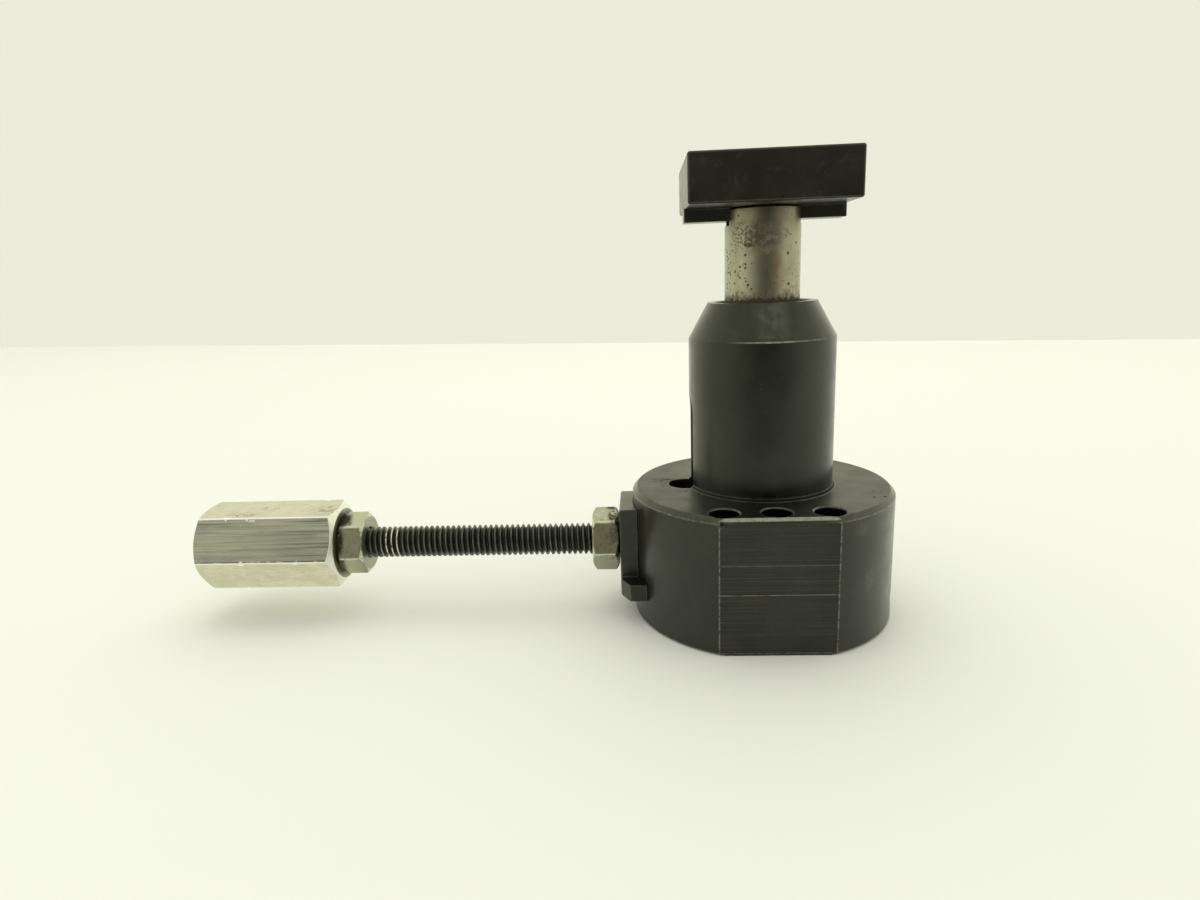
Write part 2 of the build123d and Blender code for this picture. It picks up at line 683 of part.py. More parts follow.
# Socket head screw that holds the pad down
with BuildPart() as pad_screw:
    with BuildSketch(Plane.XY.offset(screw_seat)):
        Circle(PAD_SCREW_HEAD_DIA / 2)
    extrude(amount=PAD_SCREW_HEAD)
    chamfer(pad_screw.edges().group_by(Axis.Z)[-1], PLUNGER_EDGE)
    with BuildSketch(Plane.XY.offset(screw_seat + PAD_SCREW_HEAD)):
        RegularPolygon(PAD_SCREW_HEAD_DIA * SOCKET_SHARE_OF_HEAD / 2, 6, major_radius=False)
    extrude(amount=-PAD_SCREW_HEAD * SOCKET_SHARE_OF_HEAD, mode=Mode.SUBTRACT)
    with BuildSketch(Plane.XY.offset(screw_seat)):
        Circle(PAD_SCREW_DIA / 2)
    extrude(amount=-(screw_seat - slot_floor + PAD_SCREW_REACH))
pad_screw.part.label = "pad_screw"
export_step(pad_screw.part, "parts/pad_screw.step")

print("overall height", pad_top, "reach of the arm", knob_start + KNOB_LENGTH)
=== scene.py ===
import json
from math import cos, pi, radians, sin

import bmesh
import bpy
from mathutils import Matrix, Vector

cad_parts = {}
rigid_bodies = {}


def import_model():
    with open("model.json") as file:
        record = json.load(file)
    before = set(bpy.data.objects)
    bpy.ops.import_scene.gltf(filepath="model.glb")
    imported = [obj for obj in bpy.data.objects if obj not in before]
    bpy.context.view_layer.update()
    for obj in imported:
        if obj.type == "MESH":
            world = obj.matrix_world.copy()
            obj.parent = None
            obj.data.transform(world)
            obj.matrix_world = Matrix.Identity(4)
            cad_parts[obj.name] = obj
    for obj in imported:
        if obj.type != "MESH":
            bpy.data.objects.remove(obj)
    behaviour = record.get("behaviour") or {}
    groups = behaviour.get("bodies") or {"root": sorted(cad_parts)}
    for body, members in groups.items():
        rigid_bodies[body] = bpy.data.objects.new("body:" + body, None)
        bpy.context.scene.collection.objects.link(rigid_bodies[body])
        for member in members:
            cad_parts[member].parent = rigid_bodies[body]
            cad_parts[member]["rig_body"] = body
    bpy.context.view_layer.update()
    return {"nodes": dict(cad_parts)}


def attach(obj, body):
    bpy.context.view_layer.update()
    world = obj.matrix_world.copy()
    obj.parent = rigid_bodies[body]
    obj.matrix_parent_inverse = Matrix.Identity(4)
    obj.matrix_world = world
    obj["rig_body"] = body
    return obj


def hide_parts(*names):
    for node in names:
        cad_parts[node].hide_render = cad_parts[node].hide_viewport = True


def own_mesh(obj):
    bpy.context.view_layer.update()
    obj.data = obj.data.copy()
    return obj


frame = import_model()

# Point of view
# The support is looked at from 0.2 m away, a little left of its column and from
# below the pad's top, so the pad shows its underside and the base its top.
mm = 0.001
eye = Vector((-28.36, -184.42, 84.13)) * mm
turned_left = 0.0611
tipped_down = 0.2287
leaning = -0.0381
focal_pixels = 758.67
frame_pixels = 1200
sensor_width = 36

ahead = Vector(
    (
        -sin(turned_left) * cos(tipped_down),
        cos(turned_left) * cos(tipped_down),
        -sin(tipped_down),
    )
)
level_right = Vector((cos(turned_left), sin(turned_left), 0))
level_up = level_right.cross(ahead)
right = level_right * cos(leaning) + level_up * sin(leaning)
upward = level_up * cos(leaning) - level_right * sin(leaning)
lens = bpy.data.cameras.new("view")
lens.sensor_width = sensor_width
lens.lens = focal_pixels / frame_pixels * sensor_width
lens.clip_start = 10 * mm
view = bpy.data.objects.new("view", lens)
view.matrix_world = Matrix.Translation(eye) @ Matrix(
    (right, upward, -ahead)
).transposed().to_4x4()
bpy.context.scene.collection.objects.link(view)
bpy.context.scene.camera = view
bpy.context.scene.view_settings.view_transform = "Standard"

# Table and walls
# A warm white table top in a room with plain warm white walls. The far wall is
# 0.9 m away and not quite square to the view.
table_colour = (0.915, 0.925, 0.815, 1)
wall_colour = (0.83, 0.838, 0.70, 1)
far_wall = Vector((-81.1, 760.2, 0)) * mm
wall_turn = radians(-15.9)
wall_height = 2.2
room = {"left": -1.35, "right": 1.2, "near": -2.3, "far": 0.0}
knob_side = 0.183
viewer_side = -0.92


def node(tree, kind, inputs=(), **settings):
    """One shader node, with its settings, and its inputs set or linked by name or number."""
    made = tree.nodes.new("ShaderNode" + kind)
    for key, value in settings.items():
        setattr(made, key, value)
    for socket, value in dict(inputs).items():
        if isinstance(value, bpy.types.NodeSocket):
            tree.links.new(value, made.inputs[socket])
        else:
            made.inputs[socket].default_value = value
    return made


def flat_sheet(name, corners, material):
    """A four-cornered sheet of the room."""
    mesh = bpy.data.meshes.new(name)
    mesh.from_pydata([tuple(c) for c in corners], [], [(0, 1, 2, 3)])
    mesh.materials.append(material)
    sheet = bpy.data.objects.new(name, mesh)
    bpy.context.scene.collection.objects.link(sheet)
    return sheet


table_top = bpy.data.materials.new("table_top")
table_top.use_nodes = True
top_shader = table_top.node_tree.nodes["Principled BSDF"]
top_shader.inputs["Base Color"].default_value = table_colour
top_shader.inputs["Roughness"].default_value = 0.55
top_shader.inputs["Specular IOR Level"].default_value = 0.25

wall_paint = bpy.data.materials.new("wall_paint")
wall_paint.use_nodes = True
wall_tree = wall_paint.node_tree
wall_tree.nodes.clear()
wall_glow = node(wall_tree, "Emission", {"Color": wall_colour, "Strength": 1.0})
node(wall_tree, "OutputMaterial", {"Surface": wall_glow.outputs[0]})

room_place = Matrix.Translation(far_wall) @ Matrix.Rotation(wall_turn, 4, "Z")


def floor_corners(left, near_end, right_end, far):
    """The corners of a level rectangle, squared to the far wall."""
    ends = ((left, near_end), (right_end, near_end), (right_end, far), (left, far))
    return [room_place @ Vector((across, along, 0)) for across, along in ends]


flat_sheet(
    "table", floor_corners(knob_side, viewer_side, room["right"], room["far"]), table_top
)
for name, limits in (
    ("table_left", (room["left"], viewer_side, knob_side, room["far"])),
    ("table_near", (room["left"], room["near"], room["right"], viewer_side)),
):
    flat_sheet(name, floor_corners(*limits), table_top).visible_glossy = False
room_corners = floor_corners(room["left"], room["near"], room["right"], room["far"])
lift = Vector((0, 0, wall_height))
for index, foot in enumerate(room_corners):
    next_foot = room_corners[(index + 1) % len(room_corners)]
    wall = flat_sheet(
        f"wall_{index + 1}", (foot, next_foot, next_foot + lift, foot + lift), wall_paint
    )
    wall.visible_diffuse = wall.visible_glossy = wall.visible_shadow = False
    wall.visible_transmission = wall.visible_volume_scatter = False

# Light
# Soft light from all round on matt things. What shines reflects a room that is
# dim on the viewer's side. One weak wide lamp hangs overhead.
dim_side = Vector((0.06, -1.0, -0.10)).normalized()
even_light = (0.90, 0.903, 0.88, 1)
world = bpy.data.worlds.new("room_light")
bpy.context.scene.world = world
world.use_nodes = True
sky = world.node_tree
sky.nodes.clear()
direction = node(sky, "TexCoord").outputs["Generated"]
toward_dim = node(
    sky, "VectorMath", {0: direction, 1: tuple(dim_side)}, operation="DOT_PRODUCT"
).outputs["Value"]
share = node(
    sky, "MapRange", {"Value": toward_dim, "From Min": -1.0, "From Max": 1.0}
).outputs["Result"]
glow = node(sky, "ValToRGB", {"Fac": share})
steps = glow.color_ramp.elements
steps[0].position, steps[0].color = 0.0, (1.03, 1.04, 0.80, 1)
steps[1].position, steps[1].color = 1.0, (0.07, 0.07, 0.055, 1)
for degrees_off, colour in (
    (120, (1.01, 1.02, 0.79, 1)),
    (85, (0.94, 0.95, 0.74, 1)),
    (64, (0.84, 0.85, 0.66, 1)),
    (46, (0.60, 0.605, 0.47, 1)),
    (34, (0.36, 0.36, 0.28, 1)),
    (20, (0.18, 0.18, 0.14, 1)),
    (10, (0.09, 0.09, 0.07, 1)),
):
    step = steps.new((1 + cos(radians(degrees_off))) / 2)
    step.color = colour
matt_ray = node(sky, "LightPath").outputs["Is Diffuse Ray"]
lit = node(
    sky, "Mix", {"Factor": matt_ray, 6: glow.outputs["Color"], 7: even_light}, data_type="RGBA"
).outputs[2]
around = node(sky, "Background", {"Color": lit})
node(sky, "OutputWorld", {"Surface": around.outputs[0]})

lamp = bpy.data.lights.new("soft_lamp", "AREA")
lamp.shape = "DISK"
lamp.size = 1.3
lamp.energy = 3.0
lamp.color = (1.0, 0.99, 0.93)
lamp_stand = bpy.data.objects.new("soft_lamp", lamp)
lamp_stand.location = (0.02, 0.42, 1.15)
aim = Vector((-0.03, 0.0, 0.03)) - lamp_stand.location
lamp_stand.rotation_euler = aim.to_track_quat("-Z", "Y").to_euler()
lamp_stand.visible_glossy = False
bpy.context.scene.collection.objects.link(lamp_stand)

# Body
# Base and column in one piece, turned from a steel bar, milled and drilled, then
# blacked with hot oxide. Corners are worn pale, and the milled flat is grooved.
flat_face = -29.0
flat_half_width = 12.92
base_top = 32.0
base_chamfer = 1.2
cone_start = 68.1
front_hole_row = -24.65
front_hole_places = (-11.4, 0.0, 11.4)
plug_screw_mouth = (30.2, -9.8, 5.5)
least_edge_angle = 20


def dressed(name, rounding, finish):
    """A welded copy of a plain piece with rounded edges, that stands for it on its body."""
    cad = frame["nodes"][name]
    shape = bmesh.new()
    shape.from_mesh(cad.data)
    bmesh.ops.remove_doubles(shape, verts=shape.verts, dist=0.001 * mm)
    bmesh.ops.dissolve_limit(
        shape, angle_limit=radians(0.4), verts=shape.verts, edges=shape.edges, delimit=set()
    )
    for face in shape.faces:
        face.smooth = True
    mesh = bpy.data.meshes.new(name + "_dressed")
    shape.to_mesh(mesh)
    shape.free()
    mesh.materials.append(finish)
    piece = bpy.data.objects.new(name + "_dressed", mesh)
    bpy.context.scene.collection.objects.link(piece)
    edge = piece.modifiers.new("rounded_edges", "BEVEL")
    edge.width = rounding * mm
    edge.segments = 2
    edge.limit_method = "ANGLE"
    edge.angle_limit = radians(least_edge_angle)
    edge.use_clamp_overlap = False
    shading = piece.modifiers.new("flat_faces_flat", "WEIGHTED_NORMAL")
    shading.mode = "FACE_AREA"
    shading.weight = 90
    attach(piece, cad["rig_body"])
    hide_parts(name)


def new_finish(name, metallic=0.0):
    """A material, its tree and shader, and the place on the piece in millimetres."""
    material = bpy.data.materials.new(name)
    material.use_nodes = True
    tree = material.node_tree
    shader = tree.nodes["Principled BSDF"]
    shader.inputs["Metallic"].default_value = metallic
    spot = node(
        tree,
        "VectorMath",
        {0: node(tree, "TexCoord").outputs["Object"], 1: (1 / mm, 1 / mm, 1 / mm)},
        operation="MULTIPLY",
    ).outputs["Vector"]
    return material, tree, shader, spot


def ramp(tree, value, low, high, to_low=0.0, to_high=1.0):
    """A value remapped smoothly from one span to another."""
    inputs = {
        "Value": value, "From Min": low, "From Max": high, "To Min": to_low, "To Max": to_high
    }
    return node(tree, "MapRange", inputs, interpolation_type="SMOOTHSTEP").outputs["Result"]


def grain(
    tree, spot, cycles, low=0.35, high=0.65, to_low=0.0, to_high=1.0, detail=3.0, shift=0.0
):
    """Noise with its own count of cycles a millimetre along each axis, as a value."""
    stretched = node(
        tree,
        "VectorMath",
        {0: spot, 1: cycles, 2: (shift, shift, shift)},
        operation="MULTIPLY_ADD",
    ).outputs["Vector"]
    made = node(tree, "TexNoise", {"Vector": stretched, "Scale": 1.0, "Detail": detail})
    return ramp(tree, made.outputs["Fac"], low, high, to_low, to_high)


def sums(tree, operation, *values):
    """One step of arithmetic on values."""
    return node(tree, "Math", dict(enumerate(values)), operation=operation).outputs["Value"]


def both(tree, first, *others):
    """The product of several shares."""
    for other in others:
        first = sums(tree, "MULTIPLY", first, other)
    return first


def either(tree, first, *others):
    """The largest of several shares."""
    for other in others:
        first = sums(tree, "MAXIMUM", first, other)
    return first


def tinted(tree, share, a, b):
    """A colour between two others."""
    return node(tree, "Mix", {"Factor": share, 6: a, 7: b}, data_type="RGBA").outputs[2]


def spread(tree, share, a, b):
    """A value between two others."""
    return ramp(tree, share, 0.0, 1.0, a, b)


def near(tree, spot, centre, reach, soft=0.4):
    """1 close to a place in millimetres, 0 beyond reach, with a soft rim."""
    gap = node(tree, "VectorMath", {0: spot, 1: centre}, operation="DISTANCE").outputs["Value"]
    return ramp(tree, gap, reach * (1 + soft), reach * (1 - soft))


def stretched_near(tree, spot, centre, reaches, soft=0.4):
    """The same with a reach of its own along each axis."""
    inverse = tuple(1 / reach for reach in reaches)
    moved = node(
        tree, "VectorMath", {0: spot, 1: centre}, operation="SUBTRACT"
    ).outputs["Vector"]
    scaled = node(
        tree, "VectorMath", {0: moved, 1: inverse}, operation="MULTIPLY"
    ).outputs["Vector"]
    gap = node(tree, "VectorMath", {0: scaled}, operation="LENGTH").outputs["Value"]
    return ramp(tree, gap, 1 + soft, 1 - soft)


def axes(tree, spot):
    """The three coordinates of a place."""
    return node(tree, "SeparateXYZ", {0: spot}).outputs


def from_line(tree, spot, flattened):
    """Distance from an axis, with that axis flattened to nothing."""
    level = node(
        tree, "VectorMath", {0: spot, 1: flattened}, operation="MULTIPLY"
    ).outputs["Vector"]
    return node(tree, "VectorMath", {0: level}, operation="LENGTH").outputs["Value"]


def worn_edges(tree, spot, reach, weak=0.997, strong=0.965):
    """Where an edge is near: a rounded normal leaves the face's own there. Patchy."""
    rounded = node(tree, "Bevel", {"Radius": reach * mm}, samples=4).outputs["Normal"]
    own = node(tree, "NewGeometry").outputs["Normal"]
    match = node(
        tree, "VectorMath", {0: rounded, 1: own}, operation="DOT_PRODUCT"
    ).outputs["Value"]
    patchy = grain(tree, spot, (0.5, 0.5, 0.5), 0.36, 0.6, 0.2, detail=5.0)
    return both(tree, ramp(tree, match, weak, strong), patchy)


def uneven(tree, shader, height, strength, depth, other=None):
    """A bump from a height, over another bump where there is one."""
    inputs = {"Height": height, "Strength": strength, "Distance": depth * mm}
    if other is not None:
        inputs["Normal"] = other
    bump = node(tree, "Bump", inputs).outputs["Normal"]
    tree.links.new(bump, shader.inputs["Normal"])
    return bump


oxide_dark = (0.0045, 0.0046, 0.0035, 1)
oxide_light = (0.0115, 0.0118, 0.0090, 1)
oxide_brown = (0.022, 0.0165, 0.0095, 1)
bared_steel = (0.150, 0.152, 0.118, 1)


def black_oxide(name, gloss=0.31, wear=0.8, oil=0.3):
    """Blacked steel: a thin dark film under oil, cloudy, brown in places, rubbed at edges."""
    material, tree, shader, spot = new_finish(name)
    cloud = grain(tree, spot, (0.11, 0.11, 0.08), detail=6.0)
    colour = tinted(tree, cloud, oxide_dark, oxide_light)
    rusty = grain(tree, spot, (0.22, 0.22, 0.22), 0.58, 0.72, detail=6.0, shift=31.0)
    colour = tinted(
        tree, both(tree, rusty, spread(tree, cloud, 0.25, 0.6)), colour, oxide_brown
    )
    speck = grain(tree, spot, (2.6, 2.6, 2.6), 0.68, 0.76, detail=2.0, shift=12.0)
    colour = tinted(tree, both(tree, speck, cloud), colour, (0.06, 0.061, 0.047, 1))
    edge = both(tree, worn_edges(tree, spot, 0.42), spread(tree, cloud, wear * 0.6, wear))
    smear = grain(tree, spot, (0.16, 0.16, 0.3), 0.3, 0.7, gloss - 0.03, gloss + 0.05, 5.0, 5.0)
    shader.inputs["IOR"].default_value = 1.48
    shader.inputs["Coat Weight"].default_value = oil
    shader.inputs["Coat IOR"].default_value = 1.2
    shader.inputs["Coat Roughness"].default_value = 0.2
    shader.inputs["Specular Tint"].default_value = (0.98, 1.0, 0.84, 1)
    fine = grain(tree, spot, (6.0, 6.0, 6.0), 0.2, 0.8, detail=3.0, shift=3.0)
    bump = uneven(tree, shader, fine, 0.12, 0.015)
    return material, tree, shader, spot, colour, edge, smear, bump


def finished(tree, shader, colour, roughness, metallic=None):
    """Puts the last colour, roughness and metal share on the shader."""
    tree.links.new(colour, shader.inputs["Base Color"])
    tree.links.new(roughness, shader.inputs["Roughness"])
    if metallic is not None:
        tree.links.new(metallic, shader.inputs["Metallic"])


def cloudy_share(tree, spot):
    """Cloudy noise from 0.2 to 1 that breaks up a stain."""
    return grain(tree, spot, (0.7, 0.7, 0.7), 0.35, 0.65, 0.2, detail=5.0, shift=17.0)


def line_at(tree, value, place, half_width, soft=0.5):
    """1 where a value is at a place, 0 beyond half a width from it."""
    off = sums(tree, "ABSOLUTE", sums(tree, "SUBTRACT", value, place))
    return ramp(tree, off, half_width * (1 + soft), half_width * (1 - soft))


def body_finish():
    """The body's black oxide: milling lines on the flat, rings elsewhere, rubbed edges, painted
    shade under the flat's top chamfer and in its holes, and a painted highlight on that
    chamfer.
    """
    material, tree, shader, spot, colour, edge, smear, bump = black_oxide("body_oxide", oil=0.0)
    x, y, z = axes(tree, spot)
    radius = from_line(tree, spot, (1, 1, 0))
    broken = grain(tree, spot, (0.45, 0.45, 0.45), 0.34, 0.6, 0.35, detail=6.0, shift=50.0)
    ragged = grain(tree, spot, (1.1, 1.1, 1.1), 0.36, 0.62, 0.15, detail=6.0, shift=70.0)
    on_flat = ramp(tree, y, flat_face + 0.15, flat_face + 0.02)
    broad_lines = grain(tree, spot, (0.015, 0.0, 1.7), 0.34, 0.68, detail=4.0)
    fine_lines = grain(tree, spot, (0.03, 0.0, 6.5), 0.30, 0.70, detail=3.0, shift=8.0)
    lines = both(tree, broad_lines, fine_lines)
    colour = tinted(tree, both(tree, on_flat, lines), colour, (0.029, 0.029, 0.023, 1))
    for height, strength, half_width in (
        (21.2, 0.4, 0.09), (17.7, 0.14, 0.08), (14.4, 0.75, 0.11)
    ):
        scratch = both(
            tree,
            on_flat,
            line_at(tree, z, height, half_width),
            grain(tree, spot, (0.5, 0.0, 0.0), 0.3, 0.6, 0.35, detail=5.0, shift=height),
            strength,
        )
        colour = tinted(tree, scratch, colour, (0.17, 0.172, 0.135, 1))
    # Painted shade: near-black lines on the flat, one just below its top chamfer and one just
    # above its lowest scratch.
    shade_line = both(tree, on_flat, line_at(tree, z, 14.72, 0.14), 0.8)
    shade_under_edge = both(
        tree, on_flat, line_at(tree, z, 31.05, 0.22), ramp(tree, x, 9.0, 2.0), broken
    )
    colour = tinted(
        tree, either(tree, shade_line, shade_under_edge), colour, (0.0025, 0.0025, 0.002, 1)
    )
    rings = grain(tree, spot, (0.0, 0.0, 4.0), 0.3, 0.7, detail=4.0, shift=20.0)
    ring_place = node(tree, "CombineXYZ", {0: radius}).outputs[0]
    face_rings = grain(tree, ring_place, (3.0, 3.0, 3.0), 0.3, 0.7, detail=4.0, shift=11.0)
    on_top = line_at(tree, z, base_top, 0.1)
    matt = None
    for place, reaches, share in (
        ((-24.0, 3.4, base_top), (3.4, 2.4, 1.0), 0.9),
        ((-20.4, -6.7, base_top), (3.0, 1.5, 1.0), 0.75),
        ((-23.8, -0.9, base_top), (1.2, 1.8, 1.0), 0.6),
    ):
        smudge = both(
            tree,
            on_top,
            stretched_near(tree, spot, place, reaches, 0.7),
            cloudy_share(tree, spot),
            share,
        )
        colour = tinted(tree, smudge, colour, (0.0025, 0.0024, 0.002, 1))
        matt = smudge if matt is None else either(tree, matt, smudge)
    for place, reach in (
        ((23.7, -15.0, base_top), 0.42),
        ((26.2, -14.7, base_top), 0.36),
        ((24.8, -10.2, base_top), 0.3),
        ((26.4, -10.6, base_top), 0.22),
        ((-12.2, -29.0, 31.1), 0.85),
    ):
        pit = near(tree, spot, place, reach)
        colour = tinted(tree, pit, colour, (0.002, 0.002, 0.002, 1))
        matt = either(tree, matt, pit)
    for place, reaches in (
        ((17.9, -26.2, 28.1), (2.0, 2.0, 1.6)), ((20.8, -24.0, 15.6), (1.7, 1.7, 2.6))
    ):
        stain = both(
            tree, stretched_near(tree, spot, place, reaches, 0.6), cloudy_share(tree, spot)
        )
        colour = tinted(tree, stain, colour, (0.045, 0.043, 0.026, 1))
    cone_patch = both(
        tree,
        ramp(tree, x, -4.8, -1.4),
        ramp(tree, x, 5.0, 1.6),
        ramp(tree, z, 68.0, 69.5),
        ramp(tree, y, 0.0, -4.0),
        grain(tree, spot, (0.5, 0.5, 0.35), 0.32, 0.66, 0.35, detail=7.0, shift=61.0),
    )
    colour = tinted(tree, cone_patch, colour, (0.056, 0.057, 0.046, 1))
    colour = tinted(tree, edge, colour, bared_steel)
    at_flat = ramp(tree, y, flat_face + 0.8, flat_face + 0.55)
    upright = both(
        tree,
        line_at(tree, sums(tree, "ABSOLUTE", x), flat_half_width, 0.15),
        at_flat,
        ragged,
        0.55,
    )
    # Painted highlight: the flat's top chamfer is made pale, over the rubbed wear there.
    chamfer_highlight_band = both(
        tree,
        at_flat,
        ramp(tree, z, base_top - 0.72, base_top - 0.58),
        spread(tree, ragged, 0.7, 1.3),
    )
    cone_edge = both(
        tree,
        line_at(tree, z, cone_start, 0.17),
        line_at(tree, x, 2.0, 8.0, 0.6),
        ramp(tree, y, 0.0, -8.0),
        broken,
    )
    foot_line = both(
        tree, line_at(tree, radius, 17.95, 0.14), line_at(tree, z, base_top + 0.1, 0.3), 0.02
    )
    foot_bevel = both(
        tree, line_at(tree, radius, 17.6, 0.28), line_at(tree, z, base_top + 0.4, 0.32)
    )
    matt = either(tree, matt, both(tree, foot_bevel, 0.92))
    low_line = both(tree, at_flat, line_at(tree, z, 0.6, 0.14), ragged, 0.3)
    on_rim = both(
        tree, ramp(tree, radius, 30.45, 30.6), ramp(tree, z, base_top - 1.35, base_top - 1.2)
    )
    rim_line = both(
        tree,
        line_at(tree, z, base_top - base_chamfer, 0.16),
        ramp(tree, radius, 31.4, 31.6),
        ragged,
        0.4,
    )
    rubbed = either(
        tree,
        upright,
        chamfer_highlight_band,
        cone_edge,
        foot_line,
        both(tree, on_rim, broken, 0.10),
        rim_line,
        low_line,
    )
    for across in front_hole_places:
        from_hole = node(
            tree, "VectorMath", {0: spot, 1: (across, front_hole_row, 0)}, operation="SUBTRACT"
        ).outputs["Vector"]
        off_centre = from_line(tree, from_hole, (1, 1, 0))
        rim = both(
            tree,
            line_at(tree, off_centre, 3.55, 0.16),
            ramp(tree, z, 31.62, 31.72),
            ragged,
            0.28,
        )
        rubbed = either(tree, rubbed, rim)
        # Painted shade: the insides of the front holes are made near black.
        inside = both(tree, ramp(tree, off_centre, 3.42, 3.34), ramp(tree, z, 31.75, 31.66))
        colour = tinted(tree, both(tree, inside, 0.9), colour, (0.0015, 0.0015, 0.001, 1))
        matt = either(tree, matt, inside)
    # Painted shade: the mouth of the plug screw's hole is made near black.
    screw_hole_shade = both(
        tree, near(tree, spot, plug_screw_mouth, 2.8, 0.05), ramp(tree, radius, 31.6, 31.45)
    )
    colour = tinted(tree, screw_hole_shade, colour, (0.0025, 0.0024, 0.002, 1))
    matt = either(tree, matt, screw_hole_shade)
    # Pale steel on the rubbed edges, and the painted highlight on the flat's top chamfer.
    colour = tinted(tree, rubbed, colour, (0.25, 0.252, 0.20, 1))
    marks = either(
        tree,
        both(tree, on_flat, lines),
        both(tree, rings, 0.12),
        both(tree, on_top, face_rings, 0.10),
    )
    uneven(tree, shader, marks, 0.25, 0.03, bump)
    shine = both(tree, sums(tree, "SUBTRACT", 1.0, matt), spread(tree, on_flat, 1.0, 0.78))
    tree.links.new(both(tree, shine, 0.5), shader.inputs["Specular IOR Level"])
    tree.links.new(
        both(tree, shine, spread(tree, on_top, 0.45, 0.15)), shader.inputs["Coat Weight"]
    )
    finished(
        tree,
        shader,
        colour,
        sums(tree, "ADD", smear, spread(tree, either(tree, on_top, matt), 0.0, 0.08)),
    )
    return material


dressed("body", 0.12, body_finish())

# Guide bush
# A plain bronze bearing bush, turned and bored, pressed into the column's top
# from above. Only its bore meets the plunger, and the wiper ring covers it.


def turned_metal(name, base, dark, metallic, gloss, rings_along):
    """Turned bare metal: rings round an axis, cloudy tarnish and darker specks."""
    material, tree, shader, spot = new_finish(name, metallic)
    tarnish = grain(tree, spot, (0.3, 0.3, 0.3), 0.35, 0.65, detail=6.0)
    colour = tinted(tree, both(tree, tarnish, 0.6), base, dark)
    speck = grain(tree, spot, (3.0, 3.0, 3.0), 0.66, 0.76, detail=3.0, shift=9.0)
    colour = tinted(tree, speck, colour, dark)
    rings = grain(tree, spot, rings_along, 0.3, 0.7, detail=4.0, shift=4.0)
    roughness = spread(tree, tarnish, gloss - 0.04, gloss + 0.12)
    uneven(tree, shader, rings, 0.2, 0.02)
    finished(tree, shader, colour, roughness)
    return material


def repaint(name, material):
    """Puts a finish on a plain piece that is shown as it is."""
    frame["nodes"][name].material_slots[0].material = material


bronze_finish = turned_metal(
    "oiled_bronze", (0.46, 0.29, 0.13, 1), (0.17, 0.10, 0.045, 1), 0.9, 0.34, (0, 0, 5.0)
)
repaint("guide_bush", bronze_finish)

# Wiper ring
# A black rubber ring with a lip, pressed in above the bush, that keeps chips off
# the plunger. Old cutting dirt lies on it, so it shows as a dark ring.


def rubber_finish():
    """Matt black rubber with greyish dust and fine grain."""
    material, tree, shader, spot = new_finish("black_rubber")
    dust = grain(tree, spot, (0.9, 0.9, 0.9), 0.42, 0.7, detail=6.0)
    colour = tinted(tree, dust, (0.011, 0.011, 0.010, 1), (0.045, 0.041, 0.030, 1))
    uneven(tree, shader, grain(tree, spot, (5.0, 5.0, 5.0), 0.2, 0.8), 0.3, 0.03)
    finished(tree, shader, colour, spread(tree, dust, 0.55, 0.8))
    return material


rubber = rubber_finish()
repaint("wiper_ring", rubber)

# Plunger
# A hardened steel pin with a head below, ground bright where it slides in the bush.
# Its upper end is pitted and stained brown, and grime sticks where the wiper stops it.
ground_base = (0.39, 0.375, 0.285, 1)


def scattered_pits(tree, spot, cell, size, share, shift=0.0):
    """Small ragged pits, at most one to a cell, in a share of the cells."""
    moved = node(
        tree, "VectorMath", {0: spot, 1: (shift, shift, shift)}, operation="ADD"
    ).outputs["Vector"]
    ragged = node(
        tree, "TexNoise", {"Vector": moved, "Scale": 3.5, "Detail": 3.0}
    ).outputs["Color"]
    bent = node(
        tree, "VectorMath", {0: ragged, 1: (0.5, 0.5, 0.5), 2: moved}, operation="MULTIPLY_ADD"
    ).outputs["Vector"]
    cells = node(tree, "TexVoronoi", {"Vector": bent, "Scale": 1 / cell})
    lot, width = axes(tree, cells.outputs["Color"])[:2]
    limit = sums(tree, "MULTIPLY", sums(tree, "ADD", width, 0.5), size / cell)
    inside = ramp(tree, sums(tree, "SUBTRACT", cells.outputs["Distance"], limit), 0.06, -0.06)
    return both(tree, inside, ramp(tree, sums(tree, "SUBTRACT", share, lot), 0.0, 0.02))


def span(tree, value, low, high, soft):
    """1 between two values, with soft ends."""
    return both(
        tree,
        ramp(tree, value, low - soft, low + soft),
        ramp(tree, value, high + soft, high - soft),
    )


